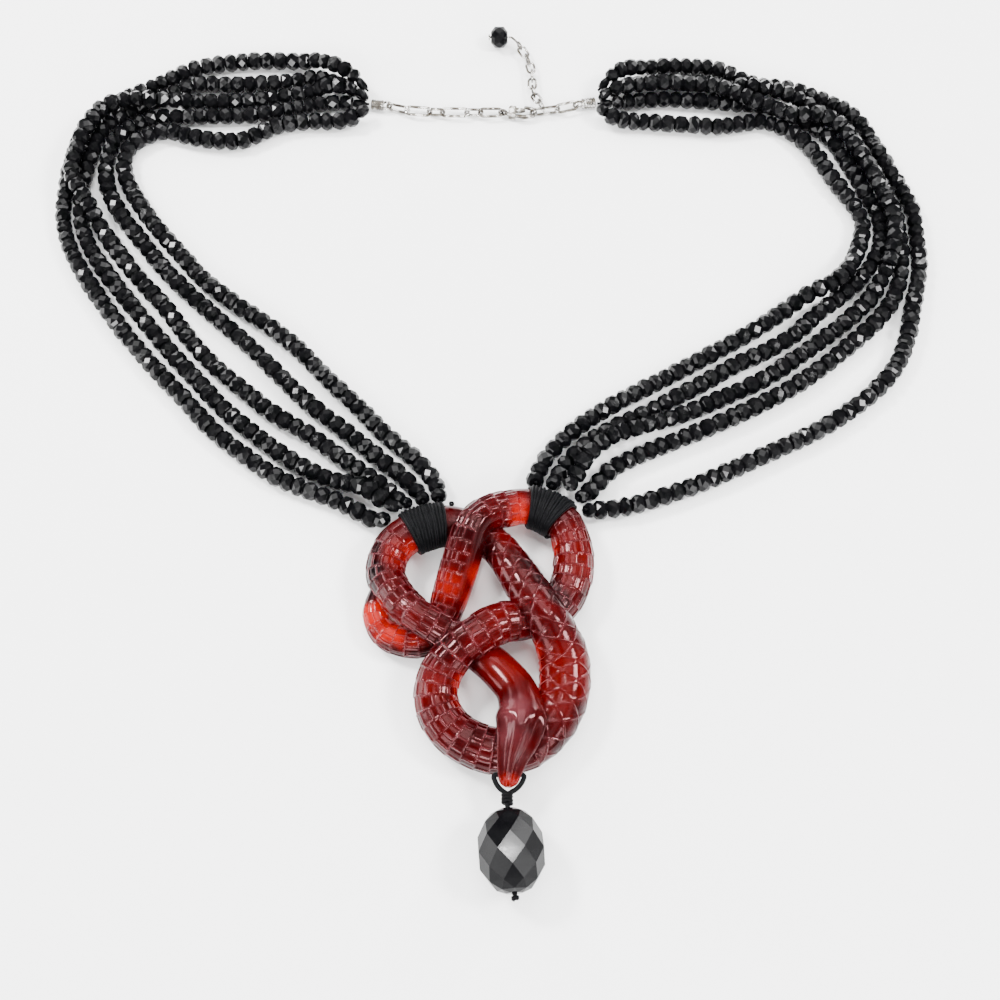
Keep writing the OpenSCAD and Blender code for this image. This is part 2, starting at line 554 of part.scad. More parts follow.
module clasp_lever() {
    color(silver)
    translate([0, 0, lever_z0])
        linear_extrude(height = lever_h)
        difference() {
            union() {
                translate(pivot) circle(r = 0.72, $fn = 32);
                polygon([[6, 86.75], [9, 86.95], [9.6, 87.2], [9.6, 87.55], [9, 87.65],
                    [7.2, 87.95], [6, 88]]);
                translate([6.9, 88.05]) circle(r = 0.4, $fn = 24);
            }
            translate(pivot) circle(r = pin_r + pin_play, $fn = 32);
        }
}

module hook_ring() {
    color(silver)
    link([hook_touch[0] - 0.05, hook_touch[1], chain_z], right_touch[0], link_half,
        link_wire, true);
}

module link_right() {
    color(silver)
    link(right_touch[0], right_touch[1], link_half, link_wire, false);
}

// head pin with its eye round the last small link, the bead sits on the shaft
module head_pin() {
    color(silver)
    union() {
        translate([8.2, 107.9, 2.1])
            rotate([0, 0, -62])
            rotate([90, 0, 0])
            rotate_extrude($fn = 12)
            translate([1, 0])
            circle(r = 0.26, $fn = 6);
        ridge([7.7, 108.8, 2.2], [6, 110.1, 2.9], 0.32, 0.3);
        ridge([6, 110.1, 2.9], [0.4, 110.1, 2.9], 0.3, 0.3);
        translate([-0.1, 110.1, 2.9])
            rotate([0, 90, 0])
            cylinder(r = 0.8, h = 0.4, $fn = 10);
    }
}

// cut stone turned about X: flat tables at both ends, flat facets between its rings
function stone_ring(r, n, turn) =
    [for (j = [0:n - 1]) let (a = 360 * (j + turn) / n) [0, r * cos(a), r * sin(a)]];
module cut_stone(rings, n, twist) {
    pts = [for (i = [0:len(rings) - 1])
        [for (p = stone_ring(rings[i][1], n, (i % 2) * twist)) [rings[i][0], p[1], p[2]]]];
    polyhedron(
        points = [for (r = pts) each r],
        faces = concat(
            [for (i = [0:len(rings) - 2]) for (j = [0:n - 1])
                for (f = two_triangles(i * n + j, (i + 1) * n + j, (i + 1) * n + (j + 1) % n,
                    i * n + (j + 1) % n, i % 2 == 1 || twist == 0)) f],
            [for (j = [1:n - 2]) [0, j, j + 1]],
            [for (j = [1:n - 2]) [(len(rings) - 1) * n, (len(rings) - 1) * n + j + 1,
                (len(rings) - 1) * n + j]]),
        convexity = 4);
}

module drop_bead() {
    color(bead_black)
    difference() {
        translate(drop_mid)
            rotate([0, 0, -90 + drop_lean])
            cut_stone(drop_rings, 8, 0.5);
        translate(drop_mid)
            rotate([0, 0, -90 + drop_lean])
            rotate([0, 90, 0])
            cylinder(r = drop_hole_r, h = 20, center = true, $fn = 24);
    }
}

module end_bead() {
    color(bead_black)
    difference() {
        translate(end_bead_mid)
            cut_stone(end_bead_rings, 8, 0.5);
        translate(end_bead_mid)
            rotate([0, 90, 0])
            cylinder(r = 0.5, h = 6, center = true, $fn = 24);
    }
}

// cord: loop through the snout, knot, run through the drop bead, end knot
cord_route = [
    [4.3, -90.9, 6.6], [2.9, -89.8, 6.5], [2, -88.4, 6.4], [1.9, -87, 6.4],
    [4.9, -87, 6.4], [7.9, -87, 6.4], [7.7, -88.4, 6.4], [6.6, -89.8, 6.5],
    [4.9, -90.9, 6.6]
];
module drop_cord() {
    color(cord_black)
    union() {
        for (i = [0:len(cord_route) - 2])
            hull() {
                translate(cord_route[i]) sphere(r = cord_r, $fn = 8);
                translate(cord_route[i + 1]) sphere(r = cord_r, $fn = 8);
            }
        hull() {
            translate([3.9, -91.4, 6.6]) sphere(r = 1.2, $fn = 8);
            translate([5.2, -92.4, 6.6]) sphere(r = 1.2, $fn = 8);
        }
        hull() {
            translate([5.2, -91.3, 7]) sphere(r = 0.9, $fn = 8);
            translate([3.9, -92.5, 7]) sphere(r = 0.9, $fn = 8);
        }
        hull() {
            translate([4.5, -92.4, 6.8]) sphere(r = cord_r, $fn = 8);
            translate([4.62, -94, 7.3]) sphere(r = cord_r, $fn = 8);
        }
        hull() {
            translate([4.62, -94, 7.3]) sphere(r = cord_r, $fn = 8);
            translate([6, -111.6, 7.3]) sphere(r = cord_r, $fn = 8);
        }
        hull() {
            translate([5.8, -112.2, 7.2]) sphere(r = 0.85, $fn = 8);
            translate([6.4, -112.3, 7.4]) sphere(r = 0.85, $fn = 8);
        }
    }
}

snake();
strand_left_1();
strand_left_2();
strand_left_3();
strand_left_4();
strand_left_5();
strand_right_1();
strand_right_2();
strand_right_3();
strand_right_4();
strand_right_5();
wrap_left();
wrap_right();
thread_knot();
drop_cord();
drop_bead();
coil_left();
coil_right();
link_1();
link_2();
link_3();
link_4();
link_5();
link_6();
clasp_body();
clasp_lever();
hook_ring();
link_right();
ext_link_1();
ext_link_2();
ext_link_3();
ext_link_4();
ext_link_5();
ext_link_6();
ext_link_7();
ext_link_8();
head_pin();
end_bead();
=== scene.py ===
"""Looks of the snake pendant necklace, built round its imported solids.

The necklace's shapes are worked out in mm and become metres when a mesh is made. The camera,
the lights and the floor are in metres.
"""
import math
import random

import bpy
import numpy as np
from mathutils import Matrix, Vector
from mathutils.kdtree import KDTree


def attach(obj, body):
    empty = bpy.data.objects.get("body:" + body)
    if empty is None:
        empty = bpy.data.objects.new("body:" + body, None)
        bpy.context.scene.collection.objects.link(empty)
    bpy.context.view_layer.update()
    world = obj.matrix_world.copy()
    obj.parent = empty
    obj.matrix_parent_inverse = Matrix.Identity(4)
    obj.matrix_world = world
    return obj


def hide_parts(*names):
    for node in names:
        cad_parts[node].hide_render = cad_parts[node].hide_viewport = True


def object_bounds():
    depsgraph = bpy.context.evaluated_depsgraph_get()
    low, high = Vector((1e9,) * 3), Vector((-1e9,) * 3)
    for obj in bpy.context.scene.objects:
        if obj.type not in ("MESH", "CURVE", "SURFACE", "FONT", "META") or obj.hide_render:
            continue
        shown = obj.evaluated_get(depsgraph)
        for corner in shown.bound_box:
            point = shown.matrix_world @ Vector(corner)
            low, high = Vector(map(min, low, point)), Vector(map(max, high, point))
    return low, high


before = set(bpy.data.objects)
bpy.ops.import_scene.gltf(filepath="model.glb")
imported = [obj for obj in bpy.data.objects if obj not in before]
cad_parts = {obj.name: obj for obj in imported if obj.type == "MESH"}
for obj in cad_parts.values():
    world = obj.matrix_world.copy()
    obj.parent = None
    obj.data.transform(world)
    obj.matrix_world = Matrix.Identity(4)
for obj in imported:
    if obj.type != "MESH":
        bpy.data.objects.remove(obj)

cad_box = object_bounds()
MM = 0.001
BODY = "necklace"
TAU = 2 * math.pi

# Camera and light

cam_data = bpy.data.cameras.new("camera")
cam_data.lens = 50
cam_data.sensor_width = 36
cam_data.clip_start = 0.01
cam_data.clip_end = 20
cam = bpy.data.objects.new("camera", cam_data)
cam.location = (0.003, -0.143, 0.300)
cam.rotation_euler = (math.radians(22), 0, 0)
bpy.context.scene.collection.objects.link(cam)
bpy.context.scene.camera = cam


def area_light(name, place, aim, size, watts, size_y=None):
    data = bpy.data.lights.new(name, "AREA")
    data.shape = "RECTANGLE"
    data.size = size
    data.size_y = size_y or size
    data.energy = watts
    lamp = bpy.data.objects.new(name, data)
    lamp.location = place
    way = [b - a for a, b in zip(place, aim)]
    lamp.rotation_euler = Vector(way).to_track_quat("-Z", "Y").to_euler()
    bpy.context.scene.collection.objects.link(lamp)


# name, place, aim (m), size (m), watts
area_light("bank_top", (0.0, 0.50, 0.95), (0, 0.50, 0), 0.50, 12.0, size_y=1.00)
area_light("panel_over", (0.010, 0.020, 0.92), (0, 0, 0), 0.06, 0.8)
area_light("spot_over", (0.009, 0.017, 0.90), (0, 0, 0), 0.012, 0.2)
area_light("lamp_back_left", (-0.52, 0.32, 0.70), (0, 0, 0), 0.18, 14.0)
area_light("lamp_right", (0.58, 0.00, 0.65), (0, 0, 0), 0.20, 11.0)
area_light("lamp_front", (-0.15, -0.70, 0.60), (0, -0.02, 0), 0.20, 7.0)
area_light("wall_left", (-0.85, 0.0, 0.15), (0, 0, 0.10), 0.45, 5.0, size_y=0.30)
area_light("panel_high", (0.495, 0.42, 0.38), (0, -0.10, 0), 0.12, 0.75)
area_light("panel_low", (0.54, -0.44, 0.49), (0, -0.10, 0), 0.12, 0.75)
CARDS = [(0.62, 0.62, 0.42), (-0.66, -0.42, 0.46), (0.45, -0.66, 0.40), (-0.50, 0.72, 0.40)]
for count, place in enumerate(CARDS):
    area_light("card_%d" % count, place, (0, 0, 0), 0.35, 4.4)


# Materials

def principled(name, colour, rough, **sockets):
    mat = bpy.data.materials.new(name)
    mat.use_nodes = True
    shader = mat.node_tree.nodes["Principled BSDF"]
    shader.inputs["Base Color"].default_value = (*colour, 1)
    shader.inputs["Roughness"].default_value = rough
    for key, value in sockets.items():
        shader.inputs[key.replace("_", " ")].default_value = value
    return mat, mat.node_tree, shader


def noise(tree, scale, detail, rough=0.55):
    coord = tree.nodes.new("ShaderNodeTexCoord")
    tex = tree.nodes.new("ShaderNodeTexNoise")
    tex.inputs["Scale"].default_value = scale
    tex.inputs["Detail"].default_value = detail
    tex.inputs["Roughness"].default_value = rough
    tree.links.new(coord.outputs["Object"], tex.inputs["Vector"])
    return tex


def ramp(tree, source, stops):
    """Colour ramp of (place, colour) stops."""
    node = tree.nodes.new("ShaderNodeValToRGB")
    band = node.color_ramp
    band.elements[0].position, band.elements[0].color = stops[0][0], (*stops[0][1], 1)
    band.elements[1].position, band.elements[1].color = stops[-1][0], (*stops[-1][1], 1)
    for place, colour in stops[1:-1]:
        band.elements.new(place).color = (*colour, 1)
    tree.links.new(source, node.inputs["Fac"])
    return node.outputs["Color"]


def spread(tree, source, low, high):
    """The middle of a noise's range, spread over low to high."""
    node = tree.nodes.new("ShaderNodeMapRange")
    node.inputs["From Min"].default_value = 0.3
    node.inputs["From Max"].default_value = 0.7
    node.inputs["To Min"].default_value = low
    node.inputs["To Max"].default_value = high
    tree.links.new(source, node.inputs["Value"])
    return node.outputs["Result"]


def bump(tree, shader, source, strength, distance):
    node = tree.nodes.new("ShaderNodeBump")
    node.inputs["Strength"].default_value = strength
    node.inputs["Distance"].default_value = distance
    tree.links.new(source, node.inputs["Height"])
    tree.links.new(node.outputs["Normal"], shader.inputs["Normal"])


def mixed(tree, fac, a, b):
    """Colour a where the socket fac is 0, b where it is 1; each a socket or a colour."""
    node = tree.nodes.new("ShaderNodeMix")
    node.data_type = "RGBA"
    tree.links.new(fac, node.inputs[0])
    for source, slot in ((a, 6), (b, 7)):
        if hasattr(source, "links"):
            tree.links.new(source, node.inputs[slot])
        else:
            node.inputs[slot].default_value = (*source, 1)
    return node.outputs[2]


def painted(tree, channel):
    """One channel of the mesh's paint attribute."""
    node = tree.nodes.new("ShaderNodeVertexColor")
    node.layer_name = "paint"
    split = tree.nodes.new("ShaderNodeSeparateColor")
    tree.links.new(node.outputs["Color"], split.inputs["Color"])
    return split.outputs[channel]


def bead_glass():
    mat, tree, shader = principled("bead_glass", (0.002, 0.002, 0.0022), 0.08)
    shader.inputs["IOR"].default_value = 1.5
    shader.inputs["Specular IOR Level"].default_value = 0.13
    cloud = noise(tree, 420, 2)
    tone = ramp(tree, cloud.outputs["Fac"], [
        (0.30, (0.0008, 0.0010, 0.0010)), (0.5, (0.0018, 0.0018, 0.0022)),
        (0.72, (0.0032, 0.0030, 0.0034))])
    tree.links.new(tone, shader.inputs["Base Color"])
    fine = noise(tree, 1300, 3)
    tree.links.new(spread(tree, fine.outputs["Fac"], 0.04, 0.12), shader.inputs["Roughness"])
    bump(tree, shader, fine.outputs["Fac"], 0.06, 0.00004)
    return mat


def drop_glass():
    mat, tree, shader = principled("drop_glass", (0.002, 0.002, 0.0022), 0.05)
    shader.inputs["IOR"].default_value = 1.6
    shader.inputs["Specular IOR Level"].default_value = 0.048
    cloud = noise(tree, 160, 3)
    tone = ramp(tree, cloud.outputs["Fac"], [
        (0.35, (0.0012, 0.0012, 0.0016)), (0.7, (0.0040, 0.0040, 0.0044))])
    tree.links.new(tone, shader.inputs["Base Color"])
    fine = noise(tree, 2600, 5)
    tree.links.new(spread(tree, fine.outputs["Fac"], 0.03, 0.09), shader.inputs["Roughness"])
    bump(tree, shader, fine.outputs["Fac"], 0.04, 0.00003)
    return mat


def thread_black(name, scale):
    mat, tree, shader = principled(name, (0.006, 0.006, 0.007), 0.5)
    shader.inputs["Specular IOR Level"].default_value = 0.05
    fibre = noise(tree, scale, 5, 0.7)
    tone = ramp(tree, fibre.outputs["Fac"], [
        (0.32, (0.0006, 0.0006, 0.0009)), (0.55, (0.0022, 0.0022, 0.0027)),
        (0.75, (0.009, 0.009, 0.010))])
    tree.links.new(tone, shader.inputs["Base Color"])
    tree.links.new(spread(tree, fibre.outputs["Fac"], 0.36, 0.60), shader.inputs["Roughness"])
    bump(tree, shader, fibre.outputs["Fac"], 0.4, 0.00006)
    return mat


def silver():
    mat, tree, shader = principled("silver", (0.90, 0.88, 0.85), 0.18, Metallic=1.0)
    tint = noise(tree, 600, 2)
    tone = ramp(tree, tint.outputs["Fac"], [
        (0.36, (0.045, 0.038, 0.030)), (0.50, (0.15, 0.14, 0.125)), (0.62, (0.60, 0.59, 0.57))])
    tree.links.new(tone, shader.inputs["Base Color"])
    fine = noise(tree, 2200, 5)
    tree.links.new(spread(tree, fine.outputs["Fac"], 0.10, 0.24), shader.inputs["Roughness"])
    bump(tree, shader, fine.outputs["Fac"], 0.15, 0.00004)
    return mat


def red_glass():
    mat, tree, shader = principled("red_glass", (0.06, 0.0003, 0.0012), 0.2)
    shader.inputs["IOR"].default_value = 1.4
    shader.inputs["Specular IOR Level"].default_value = 0.065
    shader.inputs["Specular Tint"].default_value = (0.90, 0.50, 0.52, 1)
    shader.inputs["Transmission Weight"].default_value = 0.6
    cloud = noise(tree, 110, 3)
    deep = ramp(tree, cloud.outputs["Fac"], [
        (0.30, (0.026, 0.0001, 0.0006)), (0.52, (0.052, 0.0002, 0.0009)),
        (0.75, (0.092, 0.0003, 0.0013))])
    # painted light: brighter red where light shines through thin glass
    colour = mixed(tree, painted(tree, "Red"), deep, (0.50, 0.006, 0.001))
    # dark stains in the glass, darkened further by painted shade at crossings and on the lower sides
    colour = mixed(tree, painted(tree, "Green"), colour, (0.0014, 0.0004, 0.0009))
    # painted sheen: pink-grey highlights on the scales' edge lines and the head's dome
    colour = mixed(tree, painted(tree, "Blue"), colour, (0.20, 0.044, 0.053))
    tree.links.new(colour, shader.inputs["Base Color"])
    fine = noise(tree, 350, 2)
    tree.links.new(spread(tree, fine.outputs["Fac"], 0.10, 0.20), shader.inputs["Roughness"])
    bump(tree, shader, fine.outputs["Fac"], 0.03, 0.00010)
    return mat


def floor_white():
    mat, tree, shader = principled("floor_white", (0.93, 0.93, 0.93), 0.7)
    fine = noise(tree, 40, 3)
    tone = ramp(tree, fine.outputs["Fac"], [
        (0.3, (0.925, 0.925, 0.925)), (0.7, (0.94, 0.94, 0.94))])
    tree.links.new(tone, shader.inputs["Base Color"])
    return mat


def studio_world():
    """Soft surroundings, darker and lighter from place to place in what they reflect."""
    world = bpy.data.worlds.new("studio")
    world.use_nodes = True
    tree = world.node_tree
    coord = tree.nodes.new("ShaderNodeTexCoord")
    tex = tree.nodes.new("ShaderNodeTexNoise")
    tex.inputs["Scale"].default_value = 2.6
    tex.inputs["Detail"].default_value = 2
    tree.links.new(coord.outputs["Generated"], tex.inputs["Vector"])
    tone = ramp(tree, tex.outputs["Fac"], [
        (0.36, (0.04, 0.04, 0.04)), (0.50, (0.20, 0.20, 0.20)), (0.62, (1, 1, 1))])
    path = tree.nodes.new("ShaderNodeLightPath")
    plain = mixed(tree, path.outputs["Is Camera Ray"], tone, (0.28, 0.28, 0.28))
    tree.links.new(plain, tree.nodes["Background"].inputs["Color"])
    tree.nodes["Background"].inputs["Strength"].default_value = 3.2
    return world


bpy.context.scene.world = studio_world()
BEAD = bead_glass()
DROP = drop_glass()
THREAD = thread_black("thread", 2600)
CORD = thread_black("cord", 1400)
SILVER = silver()
GLASS = red_glass()


# Mesh helpers

def make(name, points, faces, mat, smooth=True, body=BODY, stands_for=()):
    """An object from points in mm."""
    mesh = bpy.data.meshes.new(name)
    mesh.from_pydata((np.asarray(points, float) * MM).tolist(), [], [list(f) for f in faces])
    mesh.update()
    mesh.polygons.foreach_set("use_smooth", [smooth] * len(mesh.polygons))
    mesh.materials.append(mat)
    obj = bpy.data.objects.new(name, mesh)
    bpy.context.scene.collection.objects.link(obj)
    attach(obj, body)
    if stands_for:
        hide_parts(*stands_for)
    return obj


class Shape:
    """Points and faces gathered for one joined mesh."""

    def __init__(self):
        self.points, self.faces = [], []

    def add(self, points, faces):
        n = len(self.points)
        self.points.extend(map(tuple, points))
        self.faces.extend([tuple(i + n for i in f) for f in faces])


def unit(v):
    return v / np.linalg.norm(v)


def smooth_path(points, step):
    """Even points on a smooth curve through the given ones, step mm apart."""
    p = np.array(points, float)
    ext = np.vstack([2 * p[0] - p[1], p, 2 * p[-1] - p[-2]])
    out = []
    for i in range(1, len(ext) - 2):
        a, b, c, d = ext[i - 1:i + 3]
        for t in np.arange(16) / 16:
            out.append(0.5 * (2 * b + (c - a) * t + (2 * a - 5 * b + 4 * c - d) * t * t
                              + (3 * b - a - 3 * c + d) * t ** 3))
    out.append(p[-1])
    out = np.array(out)
    s = np.concatenate([[0], np.cumsum(np.linalg.norm(np.diff(out, axis=0), axis=1))])
    q = np.linspace(0, s[-1], max(2, int(round(s[-1] / step))) + 1)
    return np.column_stack([np.interp(q, s, out[:, k]) for k in range(3)]), q


def tube(path, radius, sides):
    """Closed tube along a path, its frame carried from ring to ring."""
    path = np.asarray(path, float)
    radius = np.broadcast_to(radius, len(path))
    way = np.gradient(path, axis=0)
    up = np.array((0.0, 0.0, 1.0))
    points, faces = [], []
    for i, (p, d) in enumerate(zip(path, way)):
        d = unit(d)
        up = up - d * np.dot(up, d)
        if np.linalg.norm(up) < 1e-6:
            up = np.cross(d, (1, 0, 0))
        up = unit(up)
        side = np.cross(up, d)
        for j in range(sides):
            a = TAU * j / sides
            points.append(p + radius[i] * (math.cos(a) * side + math.sin(a) * up))
    for i in range(len(path) - 1):
        for j in range(sides):
            k = (j + 1) % sides
            faces.append((i * sides + j, i * sides + k, (i + 1) * sides + k, (i + 1) * sides + j))
    faces.append(tuple(range(sides - 1, -1, -1)))
    faces.append(tuple((len(path) - 1) * sides + j for j in range(sides)))
    return points, faces


# Routes, as in the solids

# tail to snout: x, y, z, half width, half height, how deep the scales are
SNAKE_ROWS = [
    [-24, -43, 3.8, 1.2, 1.2, 0],
    [-25, -50, 3.2, 2.7, 2.6, 0.5],
    [-22.5, -55, 3.3, 3.3, 3, 1],
    [-18, -57, 3.4, 3.5, 3.2, 1],
    [-13, -56.5, 3.4, 3.6, 3.2, 1],
    [-10, -52, 3.8, 3.8, 3.6, 1],
    [-8, -46.5, 4.8, 4.2, 4, 1],
    [-6, -40, 6.2, 4.4, 4.1, 1],
    [-3.4, -32.1, 8.6, 4.1, 4, 1],
    [-0.3, -28.5, 8, 4.1, 4, 1],
    [4.2, -26.6, 6.4, 4.3, 4.1, 1],
    [9.3, -25.6, 5.4, 4.1, 4.1, 0],
    [14, -27, 5, 4.2, 4.2, 0],
    [17.6, -29.8, 5, 4.3, 4.2, 0.3],
    [19.2, -34.5, 5, 4.5, 4.3, 1],
    [19.6, -39, 4.8, 4.7, 4.4, 1],
    [18.6, -44.5, 4.4, 4.6, 4.3, 1],
    [15.6, -49.2, 4.2, 4.5, 4.2, 1],
    [10.5, -52.2, 5.4, 4.4, 4.2, 1],
    [3, -54, 7.8, 4.7, 4.4, 1],
    [-1.8, -57, 8.6, 4.6, 4.4, 1],
    [-6, -60, 7.6, 4.5, 4.3, 1],
    [-10, -65, 6, 4.8, 4.5, 1],
    [-10.8, -71, 5, 4.9, 4.6, 1],
    [-8, -76.5, 4.8, 5, 4.6, 1],
    [-3, -80, 4.6, 5.1, 4.5, 1],
    [3, -81.5, 4.2, 5.2, 4.2, 1],
    [9, -80, 4.5, 5.4, 4.5, 1],
    [14, -75.5, 4.9, 5.6, 4.9, 1],
    [16.8, -69, 5.2, 5.8, 5.1, 1],
    [17, -62, 5.8, 5.8, 5.1, 1],
    [15.5, -57.5, 7.2, 5.4, 4.9, 1],
    [12.8, -52.3, 8.8, 4.9, 4.6, 1],
    [9.2, -46.5, 8.2, 4.9, 4.6, 1],
    [5.5, -40, 6.8, 4.4, 4.3, 1],
    [2.2, -35, 4.8, 4.2, 4, 1],
    [-2.5, -31.2, 4.1, 4.1, 3.9, 1],
    [-8, -29.5, 4.4, 4.2, 4, 0],
    [-13.5, -30.5, 5, 4.4, 4.2, 0],
    [-18.6, -32.8, 5, 4.5, 4.2, 0.3],
    [-21.8, -36.8, 5, 4.5, 4.2, 1],
    [-22.6, -42, 5.2, 4.5, 4.2, 1],
    [-20, -47.2, 6.8, 4.1, 3.9, 1],
    [-15.5, -52, 8.2, 3.8, 3.7, 1],
    [-10.6, -55, 7.2, 3.8, 3.6, 1],
    [-5.6, -57.4, 5.2, 3.9, 3.6, 0.5],
    [-1.8, -59.8, 4.2, 4, 3.6, 0],
    [2.3, -63.4, 4.8, 4.2, 3.6, 0],
    [6, -68, 6.6, 4.4, 3.4, 0],
    [7.4, -72, 8.2, 4.8, 3.2, 0],
    [7.6, -75.4, 8.9, 5.6, 3.3, 0],
    [6.9, -79.4, 8.5, 4.8, 3.1, 0],
    [5.8, -83, 7.5, 3.5, 2.7, 0],
    [5.1, -86.2, 6.8, 2.5, 2.1, 0],
    [4.8, -88.4, 6.2, 1.7, 1.5, 0],
    [4.7, -89.5, 5.9, 0.7, 0.7, 0]
]
